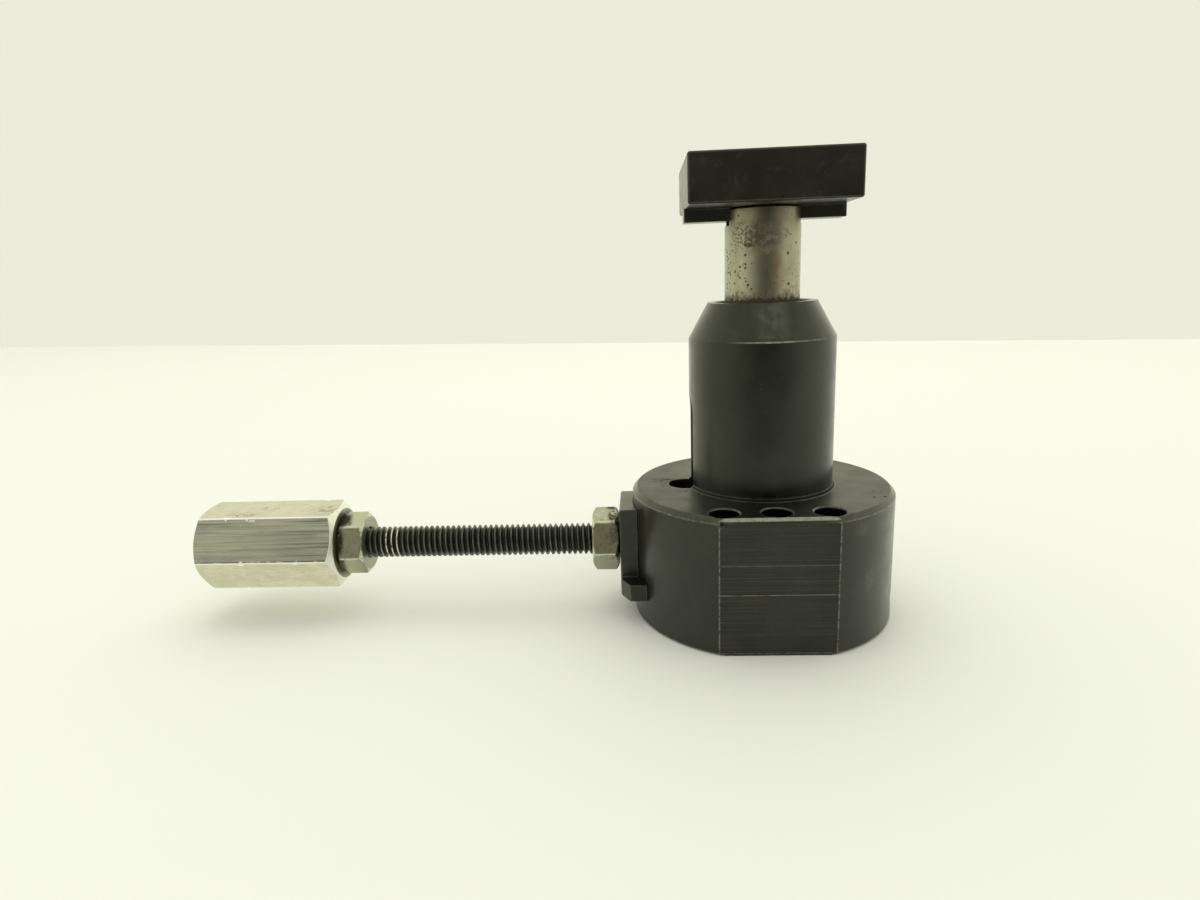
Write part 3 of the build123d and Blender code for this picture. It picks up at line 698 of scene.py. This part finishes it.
def plunger_finish():
    """Ground steel with a brown patch, pits down one side, pink tints and a dirty band."""
    material, tree, shader, spot = new_finish("pitted_ground_steel")
    x, y, z = axes(tree, spot)
    streak = grain(tree, spot, (0.8, 0.8, 0.03), 0.3, 0.7, detail=5.0)
    colour = tinted(tree, both(tree, streak, 0.5), ground_base, (0.31, 0.298, 0.225, 1))
    cloud = grain(tree, spot, (0.45, 0.45, 0.25), 0.35, 0.68, detail=6.0, shift=81.0)
    colour = tinted(tree, both(tree, cloud, 0.4), colour, (0.27, 0.245, 0.165, 1))
    in_front = ramp(tree, y, 1.0, -2.0)
    upper = both(
        tree,
        ramp(tree, z, 90.5, 94.5),
        grain(tree, spot, (0.3, 0.3, 0.2), 0.3, 0.6, 0.5, detail=5.0, shift=3.0),
    )
    colour = tinted(tree, both(tree, upper, 0.55), colour, (0.20, 0.175, 0.115, 1))
    pink = both(
        tree,
        span(tree, x, 1.0, 2.9, 0.8),
        span(tree, z, 79.5, 86.5, 2.0),
        in_front,
        grain(tree, spot, (0.6, 0.6, 0.35), 0.34, 0.6, 0.2, detail=5.0, shift=2.0),
    )
    colour = tinted(tree, both(tree, pink, 0.6), colour, (0.25, 0.155, 0.105, 1))
    low_right = both(
        tree,
        span(tree, x, 3.2, 8.6, 0.8),
        span(tree, z, 78.5, 84.0, 1.5),
        in_front,
        grain(tree, spot, (0.9, 0.9, 1.4), 0.48, 0.66, detail=6.0, shift=52.0),
    )
    colour = tinted(tree, both(tree, low_right, 0.6), colour, (0.17, 0.145, 0.085, 1))
    patch = both(
        tree,
        stretched_near(tree, spot, (-0.8, -8.7, 90.4), (3.7, 3.2, 3.2), 0.6),
        grain(tree, spot, (0.9, 0.9, 0.9), 0.30, 0.56, 0.1, detail=7.0, shift=14.0),
    )
    arm_patch = both(
        tree,
        span(tree, x, 1.5, 4.6, 0.8),
        span(tree, z, 90.4, 92.2, 0.9),
        in_front,
        grain(tree, spot, (1.2, 1.2, 1.2), 0.42, 0.60, detail=6.0, shift=24.0),
    )
    olive_zone = both(
        tree, span(tree, x, -7.6, -1.6, 0.9), span(tree, z, 88.2, 94.0, 1.2), in_front
    )
    olive = both(
        tree, olive_zone, grain(tree, spot, (1.7, 1.7, 1.7), 0.46, 0.60, detail=6.0, shift=23.0)
    )
    specks = scattered_pits(tree, spot, 0.6, 0.2, both(tree, olive_zone, 0.85), 5.0)
    colour = tinted(
        tree,
        either(tree, both(tree, olive, 0.55), both(tree, specks, 0.8)),
        colour,
        (0.085, 0.072, 0.032, 1),
    )
    left_zone = both(
        tree, span(tree, x, -8.4, -4.6, 0.7), span(tree, z, 78.6, 89.5, 1.0), in_front
    )
    few = both(tree, in_front, 0.05)
    pits = scattered_pits(
        tree, spot, 0.68, 0.2, either(tree, both(tree, left_zone, 0.62), few), 19.0
    )
    for place, reach in (
        ((4.5, -7.45, 87.0), 0.33),
        ((4.8, -7.26, 80.3), 0.33),
        ((6.6, -5.67, 89.2), 0.28),
        ((-4.3, -7.56, 80.3), 0.3),
    ):
        pits = either(tree, pits, near(tree, spot, place, reach, 0.4))
    blot = both(
        tree,
        stretched_near(tree, spot, (-4.3, -7.6, 89.0), (0.95, 0.8, 0.42), 0.5),
        grain(tree, spot, (1.8, 1.8, 1.8), 0.3, 0.5, 0.3, detail=5.0, shift=12.0),
    )
    pits = either(tree, pits, blot)
    wander = grain(tree, spot, (1.3, 1.3, 0.9), 0.2, 0.8, -1.3, 1.3, 6.0, 30.0)
    haze = ramp(tree, sums(tree, "ADD", z, wander), 79.4, 77.0)
    band = ramp(tree, sums(tree, "ADD", z, both(tree, wander, 0.5)), 77.9, 76.9)
    grime = either(
        tree,
        both(tree, patch, 0.88),
        both(tree, arm_patch, 0.8),
        both(tree, haze, 0.6),
        both(tree, band, 0.95),
    )
    colour = tinted(tree, grime, colour, (0.056, 0.040, 0.020, 1))
    colour = tinted(tree, both(tree, pits, 0.92), colour, (0.022, 0.017, 0.010, 1))
    dull = either(tree, grime, pits, both(tree, specks, 0.7), both(tree, olive, 0.5))
    metallic = spread(tree, dull, 1.0, 0.3)
    roughness = spread(tree, either(tree, dull, both(tree, streak, 0.25)), 0.29, 0.6)
    bump = uneven(
        tree,
        shader,
        sums(tree, "SUBTRACT", 1.0, either(tree, pits, both(tree, specks, 0.6))),
        0.5,
        0.05,
    )
    uneven(tree, shader, streak, 0.08, 0.01, bump)
    finished(tree, shader, colour, roughness, metallic)
    return material


dressed("plunger", 0.12, plunger_finish())

# Return spring
# A coil of drawn, oiled spring wire that stands on the plug and lifts the plunger
# from inside its bore.
spring_finish = turned_metal(
    "oiled_spring_wire",
    (0.25, 0.245, 0.21, 1),
    (0.09, 0.08, 0.06, 1),
    0.9,
    0.3,
    (1.5, 1.5, 1.5),
)


def springing_coil():
    """The coil on its seat, as a copy of the plain piece with a mesh of its own."""
    cad = frame["nodes"]["return_spring"]
    mesh = cad.data.copy()
    mesh.name = "return_spring_coil"
    mesh.materials.clear()
    mesh.materials.append(spring_finish)
    piece = bpy.data.objects.new("return_spring_coil", mesh)
    bpy.context.scene.collection.objects.link(piece)
    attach(piece, cad["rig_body"])
    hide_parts("return_spring")
    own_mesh(piece)


springing_coil()

# Base plug
# A blacked steel disc, turned and screwed into the base from below to close it, with
# two pin holes for a spanner.


def plain_oxide(name, gloss=0.32, wear=0.8, rings=(0, 0, 4.0)):
    """Black oxide with faint turning rings."""
    material, tree, shader, spot, colour, edge, smear, bump = black_oxide(name, gloss, wear)
    colour = tinted(tree, edge, colour, bared_steel)
    uneven(
        tree,
        shader,
        grain(tree, spot, rings, 0.3, 0.7, detail=4.0, shift=16.0),
        0.15,
        0.015,
        bump,
    )
    finished(tree, shader, colour, smear)
    return material


small_oxide = plain_oxide("small_parts_oxide")
repaint("base_plug", small_oxide)

# Plug seal
# A square cut ring of black rubber, sprung into the groove round the plug, that keeps
# coolant out.
repaint("plug_seal", rubber)

# Plug set screw
# A blacked steel grub screw low in the right side of the base, run in through a spot
# face against the plug.
repaint("plug_set_screw", small_oxide)

# Lock shoe
# A turned bronze shoe that slides in the base. The rod presses it on the flat of
# the plunger.
repaint("lock_shoe", bronze_finish)

# Thrust disc
# A hardened and ground steel disc, dropped to the floor of the shoe's bore, that
# takes the rod's push.
disc_finish = turned_metal(
    "hardened_disc", (0.50, 0.49, 0.44, 1), (0.22, 0.21, 0.17, 1), 1.0, 0.22, (0, 4.0, 4.0)
)
repaint("thrust_disc", disc_finish)

# Shoe ring
# A snap ring of spring steel, open at one side, that ties the rod's nose into the
# shoe so that the shoe comes back with it.
repaint("shoe_ring", spring_finish)

# Shoe key screw
# A blacked steel grub screw with a dog point, run down the left hole in the base.
# Its point sits in the shoe's slot and keeps the shoe from turning.
repaint("shoe_key_screw", small_oxide)

# Lock rod
# A 5/16 inch length of blacked threaded rod, with a turned nose that is held in
# the shoe. Its crests are rubbed, and three near the jam nut are bright.
lock_height = 17.9
thread_pitch = 25.4 / 18
crest_radius = 3.97
root_radius = 3.15
thread_start = 24.5
thread_end = 125.7
steps_round = 40
thread_profile = (
    (0.00, 1.0),
    (0.17, 1.0),
    (0.23, 0.88),
    (0.33, 0.50),
    (0.47, 0.08),
    (0.57, 0.0),
    (0.67, 0.08),
    (0.81, 0.50),
    (0.94, 0.88),
)


def threaded_rod():
    """The plain rod's nose, then a true helical thread out to the knob."""
    cad = frame["nodes"]["lock_rod"]
    shape = bmesh.new()
    shape.from_mesh(cad.data)
    bmesh.ops.remove_doubles(shape, verts=shape.verts, dist=0.001 * mm)
    bmesh.ops.bisect_plane(
        shape,
        geom=shape.verts[:] + shape.edges[:] + shape.faces[:],
        plane_co=(-thread_start * mm, 0, 0),
        plane_no=(-1, 0, 0),
        clear_outer=True,
    )
    cut = [edge for edge in shape.edges if edge.is_boundary]
    bmesh.ops.contextual_create(shape, geom=cut)
    rows = []
    points = len(thread_profile)
    turns = int((thread_end - thread_start) / thread_pitch) + 2
    for row in range(turns * points):
        share, height = thread_profile[row % points]
        ring = []
        for step in range(steps_round + 1):
            turned = step / steps_round
            along = thread_start + (row // points + share + turned - 1) * thread_pitch
            radius = root_radius + (crest_radius - root_radius) * height
            kept = min(max(along, thread_start), thread_end)
            radius = min(
                radius,
                root_radius + (thread_end - kept) * 0.9,
                root_radius + (kept - thread_start) * 0.9,
            )
            angle = turned * 2 * pi
            ring.append(
                shape.verts.new(
                    (
                        -kept * mm,
                        -radius * cos(angle) * mm,
                        (lock_height + radius * sin(angle)) * mm,
                    )
                )
            )
        rows.append(ring)
    for lower, upper in zip(rows, rows[1:]):
        for step in range(steps_round):
            corners = (lower[step], lower[step + 1], upper[step + 1], upper[step])
            shape.faces.new(corners)
    bmesh.ops.remove_doubles(shape, verts=shape.verts, dist=0.001 * mm)
    bmesh.ops.dissolve_degenerate(shape, edges=shape.edges, dist=0.0005 * mm)
    loose_ends = [edge for edge in shape.edges if edge.is_boundary]
    bmesh.ops.holes_fill(shape, edges=loose_ends)
    bmesh.ops.recalc_face_normals(shape, faces=shape.faces)
    for face in shape.faces:
        face.smooth = True
    mesh = bpy.data.meshes.new("lock_rod_threaded")
    shape.to_mesh(mesh)
    shape.free()
    mesh.set_sharp_from_angle(angle=radians(50))
    piece = bpy.data.objects.new("lock_rod_threaded", mesh)
    bpy.context.scene.collection.objects.link(piece)
    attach(piece, cad["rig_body"])
    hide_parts("lock_rod")
    return piece


def around_arm(tree, spot):
    """The place measured from the arm's axis."""
    return node(
        tree, "VectorMath", {0: spot, 1: (0, 0, lock_height)}, operation="SUBTRACT"
    ).outputs["Vector"]


def rod_finish():
    """Black oxide with rubbed crests and painted shade in the thread's roots."""
    material, tree, shader, spot, colour, edge, smear, bump = black_oxide("thread_oxide", 0.36)
    local = around_arm(tree, spot)
    radius = from_line(tree, local, (0, 1, 1))
    x = axes(tree, spot)["X"]
    crest = ramp(tree, radius, crest_radius - 0.16, crest_radius - 0.03)
    rubbed = grain(tree, spot, (0.35, 0.35, 0.35), 0.3, 0.65, 0.25, detail=5.0, shift=7.0)
    colour = tinted(tree, both(tree, crest, rubbed, 0.62), colour, (0.135, 0.135, 0.105, 1))
    bright_zone = ramp(tree, sums(tree, "ABSOLUTE", sums(tree, "ADD", x, 94.2)), 2.6, 1.9)
    broken = grain(tree, spot, (0.6, 0.6, 0.6), 0.36, 0.5, detail=3.0, shift=19.0)
    bright = both(
        tree, ramp(tree, radius, crest_radius - 0.03, crest_radius - 0.005), bright_zone, broken
    )
    colour = tinted(tree, bright, colour, (0.80, 0.79, 0.68, 1))
    # Painted shade: the thread's roots are darkened.
    root_shade = ramp(tree, radius, root_radius + 0.35, root_radius)
    colour = tinted(tree, both(tree, root_shade, 0.7), colour, (0.004, 0.004, 0.003, 1))
    finished(tree, shader, colour, smear, both(tree, bright, 0.8))
    return material


lock_rod = threaded_rod()
lock_rod.data.materials.append(rod_finish())

# Saddle
# A milled and blacked steel seat, hollowed to the base's side, for the clamp nut
# to press on. Its wider foot keeps it from turning.
dressed("saddle", 0.18, plain_oxide("saddle_oxide", 0.32, 0.7, (3.0, 3.0, 0.05)))

# Clamp nut
# A hexagon steel nut in dull zinc with rounded bright corners, run along the rod up
# to the saddle. It has gone brown, its middle flat also darkened as a painted reflection, and
# the saddle has smudged it.
nut_corner = 8.083
nut_flat = (6.72, 6.92)
nut_face = 6.7
clamp_nut_turned = 18.7
clamp_nut_ends = (-42.1, -35.5)
flat_to_cone = 3.0 ** 0.5


def facing_share(tree, local, turned, low, high):
    """1 on the hexagon's flat whose middle looks out at an angle above the viewer's side."""
    outward = (0, -cos(radians(turned)), sin(radians(turned)))
    height = node(
        tree, "VectorMath", {0: local, 1: outward}, operation="DOT_PRODUCT"
    ).outputs["Value"]
    return ramp(tree, height, low, high)


def turned_end(tree, x, radius, end, face_radius):
    """1 on the cone that is turned on the hexagon's end."""
    inward = sums(tree, "ABSOLUTE", sums(tree, "SUBTRACT", x, end))
    cone = sums(tree, "MULTIPLY_ADD", inward, flat_to_cone, face_radius)
    return ramp(tree, sums(tree, "SUBTRACT", radius, cone), -0.12, -0.04)


def zinc_finish(name, base, turned, ends, dark_marks, mid_colour, face_shade, low_shade):
    """Dull zinc: cloudy grey, a middle flat browned by tarnish and darkened as a painted
    reflection, bright worn corners, black scuffs.
    """
    material, tree, shader, spot = new_finish(name, 0.9)
    local = around_arm(tree, spot)
    x = axes(tree, local)["X"]
    radius = from_line(tree, local, (0, 1, 1))
    cloud = grain(tree, spot, (0.45, 0.45, 0.45), 0.32, 0.68, detail=6.0)
    pale = tuple(channel * 1.16 for channel in base[:3]) + (1,)
    colour = tinted(tree, cloud, base, pale)
    spangle = grain(tree, spot, (2.4, 2.4, 2.4), 0.3, 0.7, detail=4.0, shift=3.0)
    colour = tinted(tree, both(tree, spangle, 0.3), colour, (0.26, 0.27, 0.19, 1))
    rubbed_patch = grain(tree, spot, (0.7, 0.7, 0.7), 0.54, 0.68, detail=6.0, shift=44.0)
    colour = tinted(tree, both(tree, rubbed_patch, 0.45), colour, (0.64, 0.655, 0.53, 1))
    outer_face = ramp(tree, x, ends[1] - 0.2, ends[1] - 0.05)
    inner_face = ramp(tree, x, ends[0] + 0.2, ends[0] + 0.05)
    colour = tinted(
        tree,
        both(tree, either(tree, outer_face, inner_face), face_shade),
        colour,
        (0.20, 0.205, 0.13, 1),
    )
    lower = facing_share(tree, local, turned - 60, *nut_flat)
    colour = tinted(tree, both(tree, lower, low_shade), colour, (0.30, 0.31, 0.20, 1))
    # The middle flat is browned as tarnish and darkened as a painted reflection.
    middle = facing_share(tree, local, turned, *nut_flat)
    tarnish = grain(tree, spot, (0.8, 0.8, 0.8), 0.3, 0.66, 0.72, 1.0, 6.0, 15.0)
    colour = tinted(tree, both(tree, middle, tarnish), colour, mid_colour)
    blotch = grain(tree, spot, (1.6, 1.6, 1.0), 0.5, 0.68, detail=6.0, shift=25.0)
    colour = tinted(tree, both(tree, middle, blotch, 0.35), colour, (0.09, 0.075, 0.045, 1))
    dark = None
    for place, reaches, amount, broken in dark_marks:
        mark = both(
            tree,
            stretched_near(tree, spot, place, reaches, 0.4),
            grain(
                tree,
                spot,
                (0.9, 0.9, 0.9),
                broken - 0.07,
                broken + 0.05,
                detail=6.0,
                shift=place[0],
            ),
            amount,
        )
        dark = mark if dark is None else either(tree, dark, mark)
    worn = either(
        tree,
        ramp(tree, radius, nut_corner - 0.22, nut_corner - 0.12),
        turned_end(tree, x, radius, ends[0], nut_face),
        turned_end(tree, x, radius, ends[1], nut_face),
    )
    chipped = grain(tree, spot, (1.4, 1.4, 1.4), 0.36, 0.5, 0.3, detail=5.0, shift=9.0)
    colour = tinted(tree, both(tree, worn, chipped, 0.85), colour, (0.70, 0.71, 0.58, 1))
    colour = tinted(tree, dark, colour, (0.026, 0.022, 0.014, 1))
    roughness = spread(tree, either(tree, dark, both(tree, cloud, 0.5)), 0.30, 0.52)
    uneven(tree, shader, either(tree, spangle, sums(tree, "SUBTRACT", 1.0, dark)), 0.25, 0.03)
    finished(tree, shader, colour, roughness)
    return material


clamp_marks = (
    ((-36.9, -2.5, 24.5), (1.2, 3.3, 1.5), 0.92, 0.47),
    ((-36.0, -3.8, 24.6), (0.5, 2.4, 2.0), 0.8, 0.40),
    ((-36.8, 1.9, 25.4), (1.9, 1.1, 0.7), 0.85, 0.40),
    ((-39.6, -3.7, 24.2), (0.5, 1.0, 0.9), 0.4, 0.45),
    ((-36.9, -6.9, 14.9), (0.6, 1.0, 0.7), 0.45, 0.45),
    ((-37.6, -6.2, 18.9), (0.25, 1.0, 1.3), 0.5, 0.40),
    ((-36.6, -6.0, 20.6), (1.2, 1.5, 2.4), 0.5, 0.42),
)
clamp_zinc = zinc_finish(
    "clamp_nut_zinc",
    (0.41, 0.42, 0.31, 1),
    clamp_nut_turned,
    clamp_nut_ends,
    clamp_marks,
    (0.33, 0.30, 0.21, 1),
    0.3,
    0.0,
)
dressed("clamp_nut", 0.3, clamp_zinc)

# Jam nut
# The same nut again, run back against the knob to lock it on the rod. The knob has
# scuffed it black.
jam_nut_turned = 17.9
jam_nut_ends = (-107.1, -100.5)
jam_marks = (
    ((-106.2, -2.4, 24.6), (1.9, 3.6, 1.8), 0.97, 0.36),
    ((-106.5, -6.2, 20.0), (1.3, 2.5, 3.9), 0.9, 0.40),
    ((-106.0, -6.8, 15.4), (0.8, 1.0, 0.8), 0.85, 0.38),
    ((-104.5, -3.9, 24.2), (0.9, 1.5, 1.2), 0.7, 0.46),
)
jam_zinc = zinc_finish(
    "jam_nut_zinc",
    (0.47, 0.485, 0.365, 1),
    jam_nut_turned,
    jam_nut_ends,
    jam_marks,
    (0.37, 0.36, 0.25, 1),
    0.5,
    0.7,
)
dressed("jam_nut", 0.3, jam_zinc)

# Hexagon knob
# A length of hexagon aluminium bar, faced and bevelled at both ends and tapped from
# the nut's end. Its flats keep the drawing streaks, with scratches and nicked edges.
knob_turned = 24.1
knob_corner = 11.43
knob_flat = (9.78, 9.87)
knob_face = 9.1
knob_ends = (-143.2, -107.1)


def knob_finish():
    """Drawn aluminium, its middle flat streaked and scratched, a painted reflection and shadow
    of the nut in a ring round it.
    """
    material, tree, shader, spot = new_finish("drawn_aluminium")
    local = around_arm(tree, spot)
    x = axes(tree, local)["X"]
    radius = from_line(tree, local, (0, 1, 1))
    on_mid = facing_share(tree, local, knob_turned, *knob_flat)
    up_flat = (0, sin(radians(knob_turned)), cos(radians(knob_turned)))
    across = node(
        tree, "VectorMath", {0: local, 1: up_flat}, operation="DOT_PRODUCT"
    ).outputs["Value"]
    lay = grain(tree, spot, (0.06, 4.0, 4.0), 0.3, 0.7, detail=4.0, shift=13.0)
    colour = tinted(tree, both(tree, lay, 0.25), (0.75, 0.725, 0.61, 1), (0.65, 0.625, 0.51, 1))
    mottle = grain(tree, spot, (0.25, 0.25, 0.25), 0.35, 0.65, detail=6.0, shift=5.0)
    colour = tinted(tree, both(tree, mottle, 0.5), colour, (0.58, 0.565, 0.46, 1))
    stain = grain(tree, spot, (0.5, 1.4, 1.4), 0.50, 0.70, detail=7.0, shift=41.0)
    colour = tinted(tree, both(tree, stain, 0.55), colour, (0.42, 0.40, 0.29, 1))
    # Painted shade: the upper flat, and the lower flat in patches, are darkened against the
    # others.
    upper = facing_share(tree, local, knob_turned + 60, *knob_flat)
    colour = tinted(tree, both(tree, upper, 0.5), colour, (0.56, 0.55, 0.45, 1))
    lower = facing_share(tree, local, knob_turned - 60, *knob_flat)
    colour = tinted(
        tree, both(tree, lower, spread(tree, mottle, 0.4, 0.75)), colour, (0.55, 0.54, 0.42, 1)
    )
    broad = grain(tree, spot, (0.03, 0.8, 0.8), 0.34, 0.66, detail=5.0, shift=61.0)
    mid_base = tinted(tree, broad, (0.64, 0.625, 0.54, 1), (0.50, 0.495, 0.44, 1))
    fine = grain(tree, spot, (0.07, 6.5, 6.5), 0.42, 0.66, detail=5.0, shift=71.0)
    mid_base = tinted(tree, both(tree, fine, 0.4), mid_base, (0.33, 0.325, 0.295, 1))
    bluish = grain(tree, spot, (0.11, 0.5, 0.5), 0.50, 0.66, detail=6.0, shift=27.0)
    mid_base = tinted(tree, both(tree, bluish, 0.6), mid_base, (0.37, 0.375, 0.37, 1))
    long_streak = grain(tree, spot, (0.045, 2.6, 2.6), 0.50, 0.64, detail=6.0, shift=91.0)
    toward_nut = ramp(tree, x, -131.0, -111.0)
    top_left = both(tree, span(tree, across, 3.4, 5.6, 0.7), ramp(tree, x, -126.0, -136.0))
    low_edge = span(tree, across, -5.9, -3.6, 0.9)
    where = either(
        tree,
        both(tree, toward_nut, 0.9),
        both(tree, top_left, 0.9),
        both(tree, low_edge, toward_nut),
        0.28,
    )
    mid_base = tinted(
        tree, both(tree, long_streak, where, 0.8), mid_base, (0.16, 0.157, 0.145, 1)
    )
    cross = both(
        tree,
        span(tree, x, -121.0, -108.5, 2.0),
        span(tree, across, -2.0, 3.8, 1.0),
        grain(tree, spot, (3.0, 0.4, 0.4), 0.58, 0.68, detail=5.0, shift=17.0),
    )
    mid_base = tinted(tree, both(tree, cross, 0.4), mid_base, (0.62, 0.61, 0.55, 1))
    dashes = both(
        tree,
        span(tree, across, -5.8, -5.2, 0.12),
        grain(tree, spot, (0.5, 0.2, 0.2), 0.42, 0.52, detail=5.0, shift=35.0),
    )
    mid_base = tinted(tree, both(tree, dashes, 0.85), mid_base, (0.09, 0.085, 0.07, 1))
    colour = tinted(tree, on_mid, colour, mid_base)
    olive = None
    for place, reaches, share in (
        ((-131.0, -4.4, 9.6), (4.6, 1.3, 1.2), 0.75),
        ((-127.4, -0.5, 10.6), (0.8, 0.9, 1.2), 0.9),
        ((-124.0, -1.2, 10.4), (1.0, 0.8, 1.2), 0.6),
        ((-110.5, -2.6, 10.0), (3.6, 3.0, 1.5), 0.75),
    ):
        mark = both(
            tree,
            stretched_near(tree, local, place, reaches, 0.5),
            share,
            grain(tree, spot, (0.7, 2.0, 2.0), 0.46, 0.60, detail=6.0, shift=33.0 + place[0]),
        )
        olive = mark if olive is None else either(tree, olive, mark)
    colour = tinted(tree, olive, colour, (0.27, 0.235, 0.13, 1))
    # Painted reflection: the bevelled ends are made pale cream, as if they reflected the bright
    # side of the room.
    cone = either(
        tree,
        turned_end(tree, x, radius, knob_ends[0], knob_face),
        turned_end(tree, x, radius, knob_ends[1], knob_face),
    )
    colour = tinted(tree, both(tree, cone, 0.9), colour, (0.95, 0.94, 0.85, 1))
    corner = ramp(tree, radius, knob_corner - 0.17, knob_corner - 0.08)
    chips = both(
        tree,
        ramp(tree, radius, knob_corner - 0.55, knob_corner - 0.2),
        grain(tree, spot, (0.35, 0.35, 0.35), 0.62, 0.66, detail=5.0, shift=7.0),
    )
    nick = near(tree, spot, (-130.0, -11.0, 16.6), 0.7, 0.4)
    worn = either(tree, corner, chips, nick)
    colour = tinted(tree, both(tree, worn, 0.95), colour, (0.97, 0.96, 0.90, 1))
    # Painted reflection and shadow of the jam nut: the end face round it is tinted olive in
    # patches, then darkened in a ring next to the nut.
    shaded_face_round_nut = both(
        tree,
        ramp(tree, x, knob_ends[1] - 0.12, knob_ends[1] - 0.04),
        ramp(tree, radius, knob_face + 0.1, knob_face - 0.3),
    )
    grime = grain(tree, spot, (0.5, 0.5, 0.5), 0.3, 0.6, 0.7, detail=5.0, shift=22.0)
    shadow_ring = ramp(tree, radius, 8.9, 7.6)
    colour = tinted(tree, both(tree, shaded_face_round_nut, grime), colour, (0.20, 0.185, 0.095, 1))
    colour = tinted(
        tree, both(tree, shaded_face_round_nut, shadow_ring, 0.8), colour, (0.05, 0.043, 0.025, 1)
    )
    metallic = spread(
        tree,
        either(tree, both(tree, worn, 0.9), both(tree, cone, 0.5), both(tree, shaded_face_round_nut, 0.7)),
        1.0,
        0.25,
    )
    rough = spread(
        tree, either(tree, both(tree, on_mid, fine, 0.6), both(tree, cone, 0.5)), 0.27, 0.42
    )
    uneven(
        tree, shader, either(tree, both(tree, on_mid, fine), both(tree, lay, 0.2)), 0.2, 0.03
    )
    finished(tree, shader, colour, rough, metallic)
    return material


dressed("hex_knob", 0.14, knob_finish())

# Pad
# A ground and blacked steel block whose tongue sits in the plunger's slot. A sunk
# socket head screw holds it down.


def pad_finish():
    """Deep black oxide, almost even, with faint rub marks."""
    material, tree, shader, spot, colour, edge, smear, bump = black_oxide(
        "pad_oxide", 0.29, 0.5, 0.0
    )
    colour = tinted(tree, 0.4, colour, (0.0175, 0.0165, 0.013, 1))
    rub = grain(tree, spot, (0.5, 0.5, 0.5), 0.56, 0.70, detail=6.0, shift=37.0)
    colour = tinted(tree, both(tree, rub, 0.35), colour, (0.035, 0.035, 0.028, 1))
    colour = tinted(tree, edge, colour, (0.09, 0.091, 0.07, 1))
    lay = grain(tree, spot, (0.04, 5.0, 5.0), 0.3, 0.7, detail=4.0, shift=29.0)
    uneven(tree, shader, lay, 0.10, 0.015, bump)
    finished(tree, shader, colour, smear)
    return material


dressed("pad", 0.14, pad_finish())

# Pad screw
# A blacked steel cap screw with a hexagon socket, sunk below the pad's top, that
# holds the pad down on the plunger.
dressed("pad_screw", 0.10, small_oxide)
